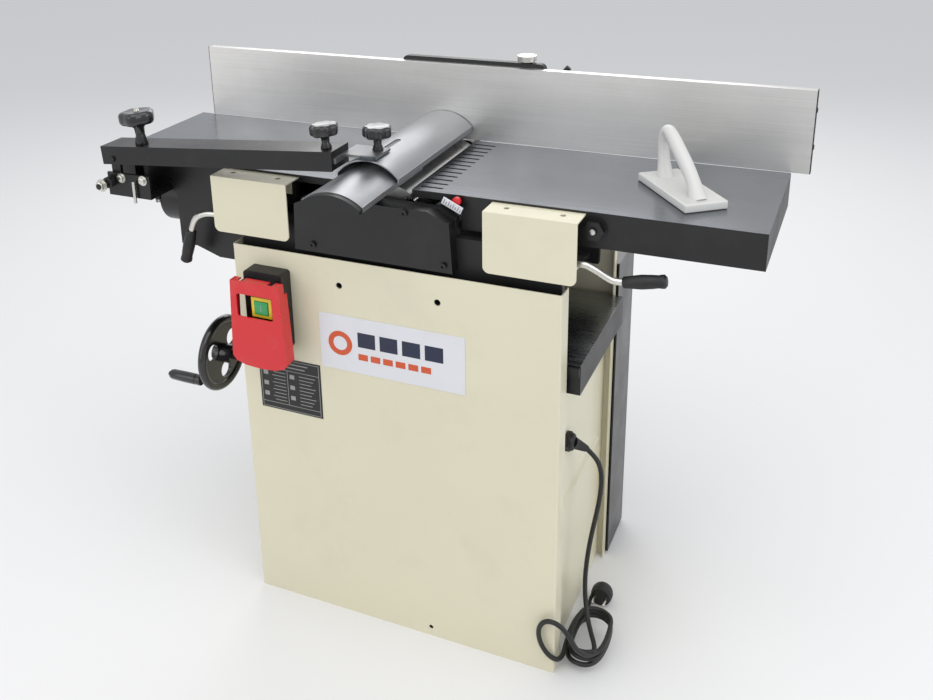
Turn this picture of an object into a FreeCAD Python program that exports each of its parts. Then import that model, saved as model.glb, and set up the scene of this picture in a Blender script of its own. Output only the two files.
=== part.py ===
import FreeCAD, Part
import math
import os

# Combined surface planer and thicknesser on a sheet-steel cabinet.
# Frame: origin on the floor under the middle of the cabinet, X along the tables
# (infeed end at +X), Y from the operator's side to the back, Z up, millimetres.

# ---- driving dimensions --------------------------------------------------------
CABINET_W = 558.0
CABINET_H = 681.0
FRONT_Y = -161.0
REAR_Y = 163.0
SHEET = 2.0
SIDE_X = 265.0            # the side panels stand inside the front panel's flanges
FRONT_FLANGE = 33.0
SIDE_H = 488.0
PAN = 4.0
FLOOR_HOLE_X, FLOOR_HOLE_Y, FLOOR_HOLE_R = 230.0, 120.0, 5.5

TABLE_Z = 800.0           # top of both planing tables
TABLE_SKIRT = 54.0
TABLE_PLATE = 12.0
TABLE_FRONT = -122.7
TABLE_BACK = 144.7
OUTFEED_X0, OUTFEED_X1 = -539.0, -38.0
INFEED_X0, INFEED_X1 = 30.0, 546.0
RIB = 10.0
DEPTH_KNOB = (313.0, 775.0)

CUTTER_Z = 764.0
CUTTER_R = 35.0
FEED_Z = 730.0
KNIFE_TIP_R = 36.0
CUTTER_Y0, CUTTER_Y1 = -118.0, 142.0
SHAFT_R = 10.0
BEARING_R = 16.0
FINGER = (-134.0, 758.0)
ROLLER_X, ROLLER_Z, ROLLER_R = 68.0, 750.0, 22.0

WALL_FRONT = (-139.0, -125.0)   # front casting wall, outer and inner face
WALL_REAR = (148.0, 160.0)
LEVER_X, LEVER_Z = 285.0, 724.0
HINGE_Y, HINGE_Z = 178.0, 770.0
HINGE_X = 210.0
HINGE_PIN_R = 7.0

THICK_Z = 549.0           # thicknesser table at its lowest
THICK_X = 297.0
THICK_Y0, THICK_Y1 = -116.0, 144.0
THICK_DEPTH = 50.0
COLUMN = (0.0, 14.0)
COLUMN_R = 50.0
SCREW = (-120.0, -101.0)
SCREW_R = 8.0
WHEEL_X, WHEEL_Z, WHEEL_R = -366.0, 433.0, 69.0

FENCE_X0, FENCE_X1 = -511.5, 571.8
FENCE_Y = 144.8
FENCE_T = 13.5
FENCE_Z0, FENCE_Z1 = 800.6, 931.0
FENCE_PIVOT = (168.0, 808.0)
FENCE_PLATE_X = (-112.0, 147.0)
FENCE_EARS = (-98.0, 112.0)
FENCE_PIN_R = 3.5
QUADRANT_X = 139.0
STUD_ANGLE = math.radians(30)
STUD = (FENCE_PIVOT[0] + 73 * math.cos(STUD_ANGLE), FENCE_PIVOT[1] + 73 * math.sin(STUD_ANGLE))
TILT_STUD = (182.0, 900.0)
BAR_X = (-112.0, -52.0)
JAW_Y = (196.0, 240.0)

ARM_X0, ARM_L = -513.0, 441.5
ARM_Y = (-181.0, -127.0)
ARM_TOP = 828.7
ARM_H = 31.0
ARM_TILT = 4.7
ARM_PIVOT = (-490.0, 809.0)
ARM_PIN_R = 5.0

GUARD_X = -29.0
GUARD_W = 52.4
GUARD_RISE = 25.0
GUARD_EDGE_Z = 824.0
GUARD_Y = (-154.0, 143.0)
NOSE_W = 49.0
NOSE_Z = 818.0
NOSE_RISE = 17.6
NOSE_Y = (-266.0, -60.0)
GUARD_BOLT_Y = -115.0
GUARD_TRAVEL = 70.0
SKIN = 2.0

MOTOR = (140.0, 172.0)
MOTOR_R = 68.0
SPOUT = (-11.0, 694.0)
PULLEY_Y = (169.0, 185.0)
CUTTER_PULLEY_R, MOTOR_PULLEY_R = 20.0, 42.0

CORD_R = 4.0
GLAND = (-47.6, 371.0)
CLEAR = 0.05              # radial clearance of a shaft in its bush

X, Y, Z = FreeCAD.Vector(1, 0, 0), FreeCAD.Vector(0, 1, 0), FreeCAD.Vector(0, 0, 1)


# ---- helpers -------------------------------------------------------------------
def vec(x, y, z):
    return FreeCAD.Vector(x, y, z)


def box(x0, x1, y0, y1, z0, z1):
    return Part.makeBox(x1 - x0, y1 - y0, z1 - z0, vec(x0, y0, z0))


def rod(start, end, radius):
    line = vec(*end) - vec(*start)
    return Part.makeCylinder(radius, line.Length, vec(*start), line)


def tube(start, end, outer, inner):
    return rod(start, end, outer).cut(rod(start, end, inner))


def fuse(first, *others):
    return first.multiFuse(list(others)).removeSplitter() if others else first


def cut(first, *others):
    return first.cut(list(others)) if others else first


def prism(points, direction):
    wire = Part.makePolygon([vec(*p) for p in points] + [vec(*points[0])])
    return Part.Face(wire).extrude(direction)


def prism_xz(points, y0, y1):
    return prism([(x, y0, z) for x, z in points], vec(0, y1 - y0, 0))


def prism_yz(points, x0, x1):
    return prism([(x0, y, z) for y, z in points], vec(x1 - x0, 0, 0))


def rounded(shape, axis, radius, keep=None):
    """Fillet the straight edges that run along axis, those for which keep() holds."""
    edges = []
    for edge in shape.Edges:
        ends = edge.Vertexes
        if len(ends) != 2:
            continue
        line = ends[1].Point - ends[0].Point
        if line.Length > 1 and abs(line.normalize().dot(axis)) > 0.999:
            if keep is None or keep(edge.CenterOfMass):
                edges.append(edge)
    return shape.makeFillet(radius, edges)


def arch(x_mid, half, base_z, rise, y0, y1, skin):
    """A curved plate, arched over X and straight along Y, with turned-down edges."""
    radius = (half * half + rise * rise) / (2 * rise)
    centre_z = base_z + rise - radius
    outer = rod((x_mid, y0, centre_z), (x_mid, y1, centre_z), radius)
    inner = rod((x_mid, y0 - 1, centre_z), (x_mid, y1 + 1, centre_z), radius - skin)
    window = box(x_mid - half, x_mid + half, y0, y1, base_z - 2, base_z + rise + 5)
    shell = outer.common(window).cut(inner)
    lip_z = base_z + 1.0
    lips = [box(side, side + skin, y0, y1, base_z - 7, lip_z)
            for side in (x_mid - half, x_mid + half - skin)]
    return fuse(shell, *lips)


def arm_turn(shape):
    """Tilt a piece of the guard arm, drawn level, about the arm's top left corner."""
    turned = shape.copy()
    turned.rotate(vec(ARM_X0, 0, ARM_TOP), Y, -ARM_TILT)
    return turned


def star_knob(x, y, z, radius, height, lobes, stem_r, stem_h):
    """A lobed clamp knob on a round stem, standing on z."""
    body = rod((x, y, z + stem_h), (x, y, z + stem_h + height), radius * 0.86)
    for k in range(lobes):
        a = 2 * math.pi * k / lobes
        cx, cy = x + radius * 0.72 * math.cos(a), y + radius * 0.72 * math.sin(a)
        body = body.fuse(rod((cx, cy, z + stem_h), (cx, cy, z + stem_h + height), radius * 0.28))
    return fuse(body, rod((x, y, z), (x, y, z + stem_h + 1), stem_r))


def disc_gear(x, z, y0, y1, tip_r, teeth, tooth):
    """A spur gear or sprocket about a Y axis, with square-cut teeth."""
    blank = rod((x, y0, z), (x, y1, z), tip_r)
    pitch = 2 * math.pi / teeth
    for k in range(teeth):
        a = k * pitch
        gap = box(tip_r - tooth, tip_r + 1, y0 - 1, y1 + 1,
                  -tip_r * pitch / 4, tip_r * pitch / 4)
        gap.rotate(vec(0, 0, 0), Y, math.degrees(a))
        gap.translate(vec(x, 0, z))
        blank = blank.cut(gap)
    return blank


def save(name, shape):
    solids = shape.Solids
    body = solids[0] if len(solids) == 1 else Part.makeCompound(solids)
    if not body.isValid():
        print("INVALID", name)
    body.exportStep("parts/%s.step" % name)
    print("%-20s %2d solid %9.0f mm3" % (name, len(solids), body.Volume))
    return body


# ---- cabinet -------------------------------------------------------------------
def cabinet_body():
    """Base pan, two side panels and the back, welded into one shell that is open at the front."""
    half = CABINET_W / 2
    inner_x = SIDE_X - SHEET
    pan = box(-inner_x, inner_x, FRONT_Y + SHEET, REAR_Y - SHEET, 0, PAN)
    back = box(-half, half, REAR_Y - SHEET, REAR_Y, 0, CABINET_H)
    pieces = [back]
    for side in (-1, 1):
        x0, x1 = sorted((side * SIDE_X, side * inner_x))
        pieces.append(box(x0, x1, FRONT_Y + SHEET, REAR_Y - SHEET, 0, SIDE_H))
        f0, f1 = sorted((side * half, side * (half - SHEET)))
        pieces.append(box(f0, f1, REAR_Y - 15, REAR_Y - SHEET, 0, CABINET_H))
        rib = prism_xz([(side * (SIDE_X - 1), 268), (side * (SIDE_X - 1), 284),
                        (side * (SIDE_X + 5), 276)], -110, 120)
        pieces.append(rib)
    holes = [rod((x, y, -1), (x, y, PAN + 1), FLOOR_HOLE_R)
             for x in (-FLOOR_HOLE_X, FLOOR_HOLE_X) for y in (-FLOOR_HOLE_Y, FLOOR_HOLE_Y)]
    holes.append(rod((MOTOR[0], REAR_Y - 5, MOTOR[1]), (MOTOR[0], REAR_Y + 5, MOTOR[1]), 34))
    holes.append(rod((-280, SCREW[1], WHEEL_Z), (-240, SCREW[1], WHEEL_Z), 16.5))
    holes.append(rod((250, GLAND[0], GLAND[1]), (280, GLAND[0], GLAND[1]), 10.8))
    holes.append(box(-32, 32, REAR_Y - 5, REAR_Y + 5, 600, CABINET_H + 1))
    for side in (-1, 1):
        holes.append(box(side * HINGE_X - 22, side * HINGE_X + 22, REAR_Y - 5, REAR_Y + 5, 670,
                         CABINET_H + 1))
    return cut(fuse(pan, *pieces), *holes)


def front_panel():
    half = CABINET_W / 2
    shell = box(-half, half, FRONT_Y, FRONT_Y + FRONT_FLANGE, 0, CABINET_H)
    shell = rounded(shell, Z, 3.0, lambda c: c.y < FRONT_Y + 1)
    hollow = box(-half + SHEET, half - SHEET, FRONT_Y + SHEET, FRONT_Y + FRONT_FLANGE + 1, -1,
                 CABINET_H + 1)
    holes = [rod((x, FRONT_Y - 1, 637), (x, FRONT_Y + 5, 637), 5.5) for x in (-84.3, 84.3)]
    holes.append(rod((60, FRONT_Y - 1, 18), (60, FRONT_Y + 5, 18), 4.0))
    holes.append(rod((-208, FRONT_Y - 1, 590), (-208, FRONT_Y + 5, 590), 16.0))
    return cut(shell, hollow, *holes)


# ---- castings ------------------------------------------------------------------
def frame_front_wall():
    y0, y1 = WALL_FRONT
    outline = [(-250, 600), (250, 600), (272, 660), (272, 690), (310, 738), (108, 738),
               (108, 768), (80, 781), (-132, 781), (-158, 768), (-158, 738), (-310, 738),
               (-272, 690), (-272, 660)]
    wall = prism_xz(outline, y0, y1)
    bosses = [rod((x, FRONT_Y + SHEET, 637), (x, y0, 637), 14) for x in (-200, -84.3, 84.3, 200)]
    bores = [rod((0, y0 - 2, CUTTER_Z), (0, y1 + 2, CUTTER_Z), BEARING_R),
             rod((FINGER[0], y0 + 3, FINGER[1]), (FINGER[0], y1 + 2, FINGER[1]), 4 + CLEAR),
             rod((0, y0 - 2, FEED_Z), (0, y1 + 2, FEED_Z), 5 + CLEAR)]
    for x in (-ROLLER_X, ROLLER_X):
        bores.append(rod((x, y0 - 2, ROLLER_Z), (x, y1 + 2, ROLLER_Z), 8 + CLEAR))
        bores.append(rod((x * 84.3 / ROLLER_X, FRONT_Y, 637), (x * 84.3 / ROLLER_X, y1 + 2, 637), 4.2))
    for side in (-1, 1):
        bores.append(rod((side * LEVER_X, y0 - 2, LEVER_Z), (side * LEVER_X, y1 + 2, LEVER_Z),
                         6 + CLEAR))
    return cut(fuse(wall, *bosses), *bores)


def frame_rear_wall():
    y0, y1 = WALL_REAR
    wall = prism_xz([(-250, 600), (250, 600), (255, 738), (28.5, 738), (28.5, 786),
                     (-28.5, 786), (-28.5, 738), (-255, 738)], y0, y1)
    pieces = [rod((0, y0, CUTTER_Z), (0, y1 + 6, CUTTER_Z), BEARING_R + 5)]
    pieces += [rod((x, y1 - 1, 637), (x, REAR_Y - SHEET, 637), 14) for x in (-200, 200)]
    for x, z in ((FINGER[0], FINGER[1]), (-ROLLER_X, ROLLER_Z), (ROLLER_X, ROLLER_Z)):
        pieces.append(box(x - 13, x + 13, y0, y1, 736, z + 13))
    for side in (-1, 1):
        x0, x1 = side * HINGE_X - 18, side * HINGE_X + 18
        pieces.append(prism_yz([(y0, 690), (168, 690), (191, 756), (191, HINGE_Z), (165, HINGE_Z),
                                (y0, 735)], x0, x1))
        pieces.append(rod((x0, HINGE_Y, HINGE_Z), (x1, HINGE_Y, HINGE_Z), 13))
        pieces.append(rod((side * HINGE_X - 45, HINGE_Y, HINGE_Z),
                          (side * HINGE_X + 45, HINGE_Y, HINGE_Z), HINGE_PIN_R))
    bores = [rod((0, y0 - 2, CUTTER_Z), (0, y1 + 8, CUTTER_Z), BEARING_R),
             rod((FINGER[0], y0 - 2, FINGER[1]), (FINGER[0], y1 - 3, FINGER[1]), 4 + CLEAR)]
    for x in (-ROLLER_X, ROLLER_X):
        bores.append(rod((x, y0 - 2, ROLLER_Z), (x, y1 + 2, ROLLER_Z), 8 + CLEAR))
    return cut(fuse(wall, *pieces), *bores)


def cutter_bearings():
    rings = [tube((0, WALL_FRONT[0], CUTTER_Z), (0, WALL_FRONT[1], CUTTER_Z), BEARING_R,
                  SHAFT_R + CLEAR),
             tube((0, WALL_REAR[0], CUTTER_Z), (0, WALL_REAR[1] + 6, CUTTER_Z), BEARING_R,
                  SHAFT_R + CLEAR)]
    return Part.makeCompound(rings)


def frame_ties():
    """Two tie bars that hold the casting's walls apart on the side without the hood."""
    bars = []
    for x in (150, 250):
        bars.append(rod((x, WALL_FRONT[1], 724), (x, WALL_REAR[0], 724), 7))
    return Part.makeCompound(bars)


def column_sleeve():
    x, y = COLUMN
    sleeve = rod((x, y, PAN), (x, y, 470), COLUMN_R + 7)
    foot = rod((x, y, PAN), (x, y, PAN + 10), COLUMN_R + 16)
    return cut(fuse(sleeve, foot), rod((x, y, 0), (x, y, 480), COLUMN_R + CLEAR))


def lift_bracket():
    x, y = SCREW
    shelf = box(-SIDE_X + SHEET, x + 32, y - 24, y + 24, 396, 404)
    gusset = prism_xz([(-SIDE_X + SHEET, 330), (-SIDE_X + SHEET, 397), (x - 40, 397)], y - 3, y + 3)
    bush = tube((-SIDE_X - 8, y, WHEEL_Z), (-SIDE_X + 14, y, WHEEL_Z), 16.5, 8 + CLEAR)
    flange = tube((-SIDE_X - 8, y, WHEEL_Z), (-SIDE_X, y, WHEEL_Z), 24, 8 + CLEAR)
    hole = rod((x, y, 380), (x, y, 410), 10)
    return Part.makeCompound([cut(fuse(shelf, gusset), hole), fuse(bush, flange)])


# ---- covers --------------------------------------------------------------------
def front_cover():
    y_back = WALL_FRONT[0]
    outline = [(-160, 689), (110, 688), (105.4, 766.3), (70.6, 782), (-122, 782), (-157, 766)]
    shell = prism_xz(outline, FRONT_Y, y_back)
    inner = prism_xz([(-154, 694), (104.5, 693.5), (100, 763.2), (69.6, 777.3), (-120, 777.3),
                      (-151.5, 763)], FRONT_Y + 3, y_back + 1)
    holes = [rod((x, FRONT_Y - 1, z), (x, FRONT_Y + 6, z), 3.2) for x, z in COVER_SCREWS]
    return cut(shell, inner, *holes)


COVER_SCREWS = ((33.9, 775.3), (95.7, 699.2), (-126.7, 701.2))


def cover_screws():
    screws = []
    for x, z in COVER_SCREWS:
        head = rod((x, FRONT_Y - 4, z), (x, FRONT_Y, z), 5.5)
        socket = rod((x, FRONT_Y - 5, z), (x, FRONT_Y - 2, z), 2.5)
        screws.append(cut(fuse(head, rod((x, FRONT_Y - 1, z), (x, FRONT_Y + 2.9, z), 3.0)), socket))
    return Part.makeCompound(screws)


def rear_drive_cover():
    lower = rounded(box(-284, 284, REAR_Y, 277, 6, 600), Z, 6.0, lambda c: c.y > 270)
    hollow = box(-281, 281, REAR_Y - 1, 274, 9, 597)
    y0, y1, wall = 166.6, 193.0, 2.5
    tower = prism_xz([(-27.5, CUTTER_Z), (-38, 596), (80, 596), (27.5, CUTTER_Z)], REAR_Y, y1)
    tower = fuse(tower, rod((0, REAR_Y, CUTTER_Z), (0, y1, CUTTER_Z), 27.5))
    room = prism_xz([(-25, CUTTER_Z), (-35.4, 590), (77, 590), (25, CUTTER_Z)], REAR_Y - 1, y1 - wall)
    room = fuse(room, rod((0, REAR_Y - 1, CUTTER_Z), (0, y1 - wall, CUTTER_Z), 25))
    trim = box(-90, 90, REAR_Y - 1, y0, CABINET_H + 2, 800)
    return cut(fuse(lower, tower), hollow, room, trim)


def dust_hood():
    y0, y1, wall = -112.0, 140.0, 2.5
    outer = prism_xz([(-420, 743), (-420, 642), (-388, 642), (-343, 627), (60, 627), (76, 643),
                      (76, 716), (-150, 716), (-160, 743)], y0, y1)
    inner = prism_xz([(-417.5, 740.5), (-417.5, 644.5), (-387, 644.5), (-342, 629.5),
                      (58.8, 629.5), (73.5, 644), (73.5, 713.5), (-152, 713.5), (-162, 740.5)],
                     y0 + wall, y1 - wall)
    throat = box(-42, 42, y0 + 8, y1 - 8, 700, 730)
    y, z = SPOUT
    spout = rod((-500, y, z), (-420, y, z), 50)
    bore = rod((-501, y, z), (-410, y, z), 47.5)
    pegs = []
    for x in (-200, 40):
        pegs.append(rod((x, WALL_FRONT[1], 680), (x, y0 + 1, 680), 6))
        pegs.append(rod((x, y1 - 1, 680), (x, WALL_REAR[0], 680), 6))
    return cut(fuse(outer, spout, *pegs), inner, throat, bore)


# ---- drive ---------------------------------------------------------------------
def motor():
    x, z = MOTOR
    shell = rod((x, -100, z), (x, 120, z), MOTOR_R)
    for k in range(20):
        a = 2 * math.pi * k / 20
        fin = box(MOTOR_R - 1, MOTOR_R + 5, -80, 90, -1.5, 1.5)
        fin.rotate(vec(0, 0, 0), Y, math.degrees(a))
        fin.translate(vec(x, 0, z))
        shell = shell.fuse(fin)
    foot = box(x - 60, x + 60, -60, 70, 4, z - MOTOR_R + 12)
    foot = cut(foot, box(x - 52, x + 52, -70, 80, 12, z - MOTOR_R - 6))
    nose = rod((x, 119, z), (x, 140, z), 40)
    body = fuse(shell, foot, nose)
    return cut(body, rod((x, 60, z), (x, 150, z), 12))


def motor_pulley():
    x, z = MOTOR
    shaft = rod((x, 62, z), (x, PULLEY_Y[1] + 4, z), 11)
    wheel = rod((x, PULLEY_Y[0], z), (x, PULLEY_Y[1], z), MOTOR_PULLEY_R)
    groove = tube((x, PULLEY_Y[0] + 3, z), (x, PULLEY_Y[1] - 3, z), MOTOR_PULLEY_R + 1,
                  MOTOR_PULLEY_R - 6)
    return fuse(cut(wheel, groove), shaft)


def cutter_pulley():
    wheel = rod((0, PULLEY_Y[0], CUTTER_Z), (0, PULLEY_Y[1], CUTTER_Z), CUTTER_PULLEY_R)
    groove = tube((0, PULLEY_Y[0] + 3, CUTTER_Z), (0, PULLEY_Y[1] - 3, CUTTER_Z),
                  CUTTER_PULLEY_R + 1, CUTTER_PULLEY_R - 6)
    return cut(wheel, groove, rod((0, 160, CUTTER_Z), (0, 190, CUTTER_Z), SHAFT_R - 2))


def loop_band(circles, y0, y1, thickness):
    """A closed belt or chain around circles (x, z, r), listed anticlockwise in XZ."""
    def hull(grow):
        shape = None
        for k, (x, z, r) in enumerate(circles):
            x2, z2, r2 = circles[(k + 1) % len(circles)]
            a, b = r + grow, r2 + grow
            dx, dz = x2 - x, z2 - z
            dist = math.hypot(dx, dz)
            base = math.atan2(dz, dx)
            lean = math.acos((a - b) / dist)
            pts = []
            for sign in (-1, 1):
                t = base + sign * lean
                pts.append((x + a * math.cos(t), z + a * math.sin(t)))
                pts.append((x2 + b * math.cos(t), z2 + b * math.sin(t)))
            quad = prism_xz([pts[0], pts[1], pts[3], pts[2]], y0, y1)
            part = quad.fuse(rod((x, y0, z), (x, y1, z), a))
            shape = part if shape is None else shape.fuse(part)
        if len(circles) > 2:
            shape = shape.fuse(prism_xz([(c[0], c[1]) for c in circles], y0, y1))
        return shape
    return hull(thickness).cut(hull(0.0))


def drive_belt():
    y0, y1 = PULLEY_Y[0] + 4, PULLEY_Y[1] - 4
    return loop_band([(0, CUTTER_Z, CUTTER_PULLEY_R - 5.6), (MOTOR[0], MOTOR[1], MOTOR_PULLEY_R - 5.6)],
                     y0, y1, 6.5)


def feed_chain():
    return loop_band([(0, FEED_Z, 10.4), (ROLLER_X, ROLLER_Z, 20.4), (-ROLLER_X, ROLLER_Z, 20.4)],
                     -156.6, -153.4, 2.6)


def cutter_block():
    block = rod((0, CUTTER_Y0, CUTTER_Z), (0, CUTTER_Y1, CUTTER_Z), CUTTER_R)
    for k in range(3):
        slot = box(-9, 4, CUTTER_Y0 - 1, CUTTER_Y1 + 1, 22, 40)
        slot.rotate(vec(0, 0, 0), Y, 120 * k + 60)
        slot.translate(vec(0, 0, CUTTER_Z))
        block = block.cut(slot)
    shaft = rod((0, WALL_FRONT[0] - 0.5, CUTTER_Z), (0, PULLEY_Y[0], CUTTER_Z), SHAFT_R)
    nose = rod((0, -152, CUTTER_Z), (0, WALL_FRONT[0], CUTTER_Z), 6)
    tail = rod((0, PULLEY_Y[0] - 1, CUTTER_Z), (0, PULLEY_Y[1] + 2, CUTTER_Z), SHAFT_R - 2)
    pinion = disc_gear(0, CUTTER_Z, -152.5, -148.5, 9.0, 12, 1.6)
    return fuse(block, shaft, nose, tail, pinion)


def cutter_knives():
    knives = []
    for k in range(3):
        gib = box(-8.5, -1.0, CUTTER_Y0 + 1, CUTTER_Y1 - 1, 22.5, 32.5)
        knife = prism_xz([(0.2, 22.5), (3.2, 22.5), (3.2, KNIFE_TIP_R - 0.6), (0.2, 32.8)],
                         CUTTER_Y0 + 1, CUTTER_Y1 - 1)
        for piece in (gib, knife):
            piece.rotate(vec(0, 0, 0), Y, 120 * k + 60)
            piece.translate(vec(0, 0, CUTTER_Z))
            knives.append(piece)
    return Part.makeCompound(knives)


def roller(x, serrated):
    body = rod((x, -117, ROLLER_Z), (x, 141, ROLLER_Z), ROLLER_R)
    if serrated:
        for k in range(24):
            groove = box(ROLLER_R - 1.5, ROLLER_R + 1, -118, 142, -0.9, 0.9)
            groove.rotate(vec(0, 0, 0), Y, 15.0 * k)
            groove.translate(vec(x, 0, ROLLER_Z))
            body = body.cut(groove)
    shaft = rod((x, -152.9, ROLLER_Z), (x, WALL_REAR[1] - 2, ROLLER_Z), 8)
    sprocket = disc_gear(x, ROLLER_Z, -157, -152.9, 20.0, 20, 2.0)
    return fuse(body, shaft, sprocket)


def feed_gear():
    gear = disc_gear(0, FEED_Z, -152.5, -148.5, 24.4, 32, 1.6)
    sprocket = disc_gear(0, FEED_Z, -157, -152.5, 10.0, 10, 2.0)
    pin = rod((0, -149, FEED_Z), (0, WALL_FRONT[1] - 1, FEED_Z), 5)
    return fuse(gear, sprocket, pin)


def kickback_fingers():
    x, z = FINGER
    shaft = rod((x, WALL_FRONT[0] + 4, z), (x, WALL_REAR[1] - 4, z), 4)
    fingers = []
    for k in range(19):
        y = -112 + 13.5 * k
        fingers.append(prism_xz([(x - 7, z + 6), (x + 7, z + 6), (x + 6, z - 18), (x + 1, z - 32),
                                 (x - 7, z - 22)], y, y + 8))
    return fuse(shaft, *fingers)


# ---- thicknesser table ---------------------------------------------------------
def thickness_table():
    y0, y1 = THICK_Y0, THICK_Y1
    top, low = THICK_Z, THICK_Z - THICK_DEPTH
    plate = box(-THICK_X, THICK_X, y0, y1, low, top)
    pockets = []
    columns = (-THICK_X + 10, -180, -62, 62, 180, THICK_X - 10)
    for x0, x1 in zip(columns, columns[1:]):
        pockets.append(box(x0 + 4, x1 - 4, y0 + 10, y1 - 10, low - 1, top - 12))
    body = cut(plate, *pockets)
    x, y = COLUMN
    stem = rod((x, y, 240), (x, y, top - 11), COLUMN_R)
    collar = rod((x, y, low - 8), (x, y, top - 11), COLUMN_R + 10)
    boss = rod((SCREW[0], SCREW[1] + 6, low), (SCREW[0], SCREW[1] + 6, top - 11), 15)
    pointer = box(272, 296, y0 - 6, y0, top - 16, top - 2)
    body = fuse(body, collar, stem, boss, pointer)
    return cut(body, rod((x, y, 230), (x, y, low + 20), COLUMN_R - 8),
               rod((SCREW[0], SCREW[1], low - 1), (SCREW[0], SCREW[1], low + 26), SCREW_R))


def lift_screw():
    x, y = SCREW
    low = THICK_Z - THICK_DEPTH
    return rod((x, y, 300), (x, y, low + 25), SCREW_R)


def bevel(apex, direction, big, small):
    """A 45 degree bevel gear whose cone points at apex along direction."""
    start = vec(*apex) - direction * big
    cone = Part.makeCone(big - 0.5, small - 0.5, big - small, start, direction)
    hub = Part.makeCylinder(12, 8, start - direction * 8, direction)
    return cone.fuse(hub)


def lift_nut_gear():
    x, y = SCREW
    gear = bevel((x, y, WHEEL_Z), Z, 20, 12)
    neck = rod((x, y, 404.4), (x, y, 407), 12)
    return cut(fuse(gear, neck), rod((x, y, 380), (x, y, 450), SCREW_R + CLEAR))


def handwheel():
    x, y, z = WHEEL_X, SCREW[1], WHEEL_Z
    pinion = bevel((SCREW[0], y, z), X, 20, 12)
    shaft = rod((x, y, z), (SCREW[0] - 14, y, z), 8)
    rim = Part.makeTorus(WHEEL_R - 8, 8, vec(x, y, z), X)
    dish = rod((x - 3, y, z), (x + 3, y, z), WHEEL_R - 10)
    for k in range(3):
        a = math.radians(120 * k + 35)
        cy, cz = y + 34 * math.cos(a), z + 34 * math.sin(a)
        dish = dish.cut(rod((x - 8, cy, cz), (x + 8, cy, cz), 15))
    hub = rod((x - 12, y, z), (x + 26, y, z), 17)
    pin = rod((x, y + GRIP[0], z + GRIP[1]), (x - 82, y + GRIP[0], z + GRIP[1]), 4)
    return fuse(rim, dish, hub, shaft, pinion, pin)


GRIP = (-51.0, -33.0)


def handwheel_grip():
    x, y, z = WHEEL_X - 12, SCREW[1] + GRIP[0], WHEEL_Z + GRIP[1]
    grip = rod((x, y, z), (x - 66, y, z), 10)
    waist = tube((x - 10, y, z), (x - 14, y, z), 11, 9.2)
    return cut(grip, waist, rod((x + 1, y, z), (x - 70.5, y, z), 4 + CLEAR))


# ---- planing tables ------------------------------------------------------------
def planing_table(x0, x1, near):
    """A ribbed table; near is the stretch over the rollers, where its skirt is cut away."""
    low, plate = TABLE_Z - TABLE_SKIRT, TABLE_Z - TABLE_PLATE
    body = box(x0, x1, TABLE_FRONT, TABLE_BACK, low, TABLE_Z)
    cells = 4
    step = (x1 - x0 - 2 * RIB) / cells
    y0, y1 = TABLE_FRONT + RIB, TABLE_BACK - RIB
    rooms = [box(x0 + RIB, x1 - RIB, y0, y1, low - 1, 772)]
    for k in range(cells):
        a = x0 + RIB + k * step
        rooms.append(box(a + 4, a + step - 4, y0, y1, 771, plate))
    rooms.append(box(near[0], near[1], TABLE_FRONT - 1, TABLE_BACK + 1, low - 1, plate))
    return cut(body, *rooms)


def hinge_lugs(side, reach):
    lugs = []
    for k in (-1, 1):
        x0 = side * HINGE_X + k * 29 - 9
        lugs.append(prism_yz([(reach, 754), (HINGE_Y, 757), (HINGE_Y, 783), (reach, 786)], x0, x0 + 18))
        lugs.append(rod((x0, HINGE_Y, HINGE_Z), (x0 + 18, HINGE_Y, HINGE_Z), 13))
    return lugs


def hinge_bore(side):
    x = side * HINGE_X
    return rod((x - 50, HINGE_Y, HINGE_Z), (x + 50, HINGE_Y, HINGE_Z), HINGE_PIN_R + CLEAR)


def lip_slots(x0, x1):
    slots = []
    for k in range(13):
        y = -108 + 19 * k
        slots.append(rounded(box(x0, x1, y, y + 5, 780, TABLE_Z + 1), Z, 2.0))
    return slots


def outfeed_table():
    body = planing_table(OUTFEED_X0, OUTFEED_X1, (-175, OUTFEED_X1 + 1))
    body = fuse(body, *hinge_lugs(-1, TABLE_BACK - 1))
    return cut(body, hinge_bore(-1), *lip_slots(OUTFEED_X1 - 44, OUTFEED_X1 - 6))


def infeed_carrier():
    """The hinged casting that carries the infeed table on its height slides."""
    y0, y1 = TABLE_FRONT + RIB + 4, TABLE_BACK - RIB - 4
    beam = box(140, 280, y0, y1, 750, 764)
    beam = cut(beam, box(160, 260, y0 + 25, y1 - 25, 740, 770))
    necks = [box(x - 9, x + 9, y1 - 2, 160, 752, 762) for x in (HINGE_X - 29, HINGE_X + 29)]
    return cut(fuse(beam, *(necks + hinge_lugs(1, 158))), hinge_bore(1))


def infeed_table():
    body = planing_table(INFEED_X0, INFEED_X1, (INFEED_X0 - 1, 110))
    windows = [box(x - 12, x + 12, TABLE_BACK - RIB - 1, TABLE_BACK + 1, 745, 770)
               for x in (HINGE_X - 29, HINGE_X + 29)]
    pads = [box(x - 12, x + 12, y - 12, y + 12, 767.5, TABLE_Z - TABLE_PLATE + 1)
            for x in (155, 265) for y in (-90, 112)]
    x, z = DEPTH_KNOB
    boss = rod((x, TABLE_FRONT + 1, z), (x, TABLE_FRONT - 2, z), 18)
    spindle = rod((x, -135, z), (x, -100, z), 5 + CLEAR)
    return cut(fuse(body, boss, *pads), spindle, *(windows + lip_slots(INFEED_X0 + 6, INFEED_X0 + 44)))


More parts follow.
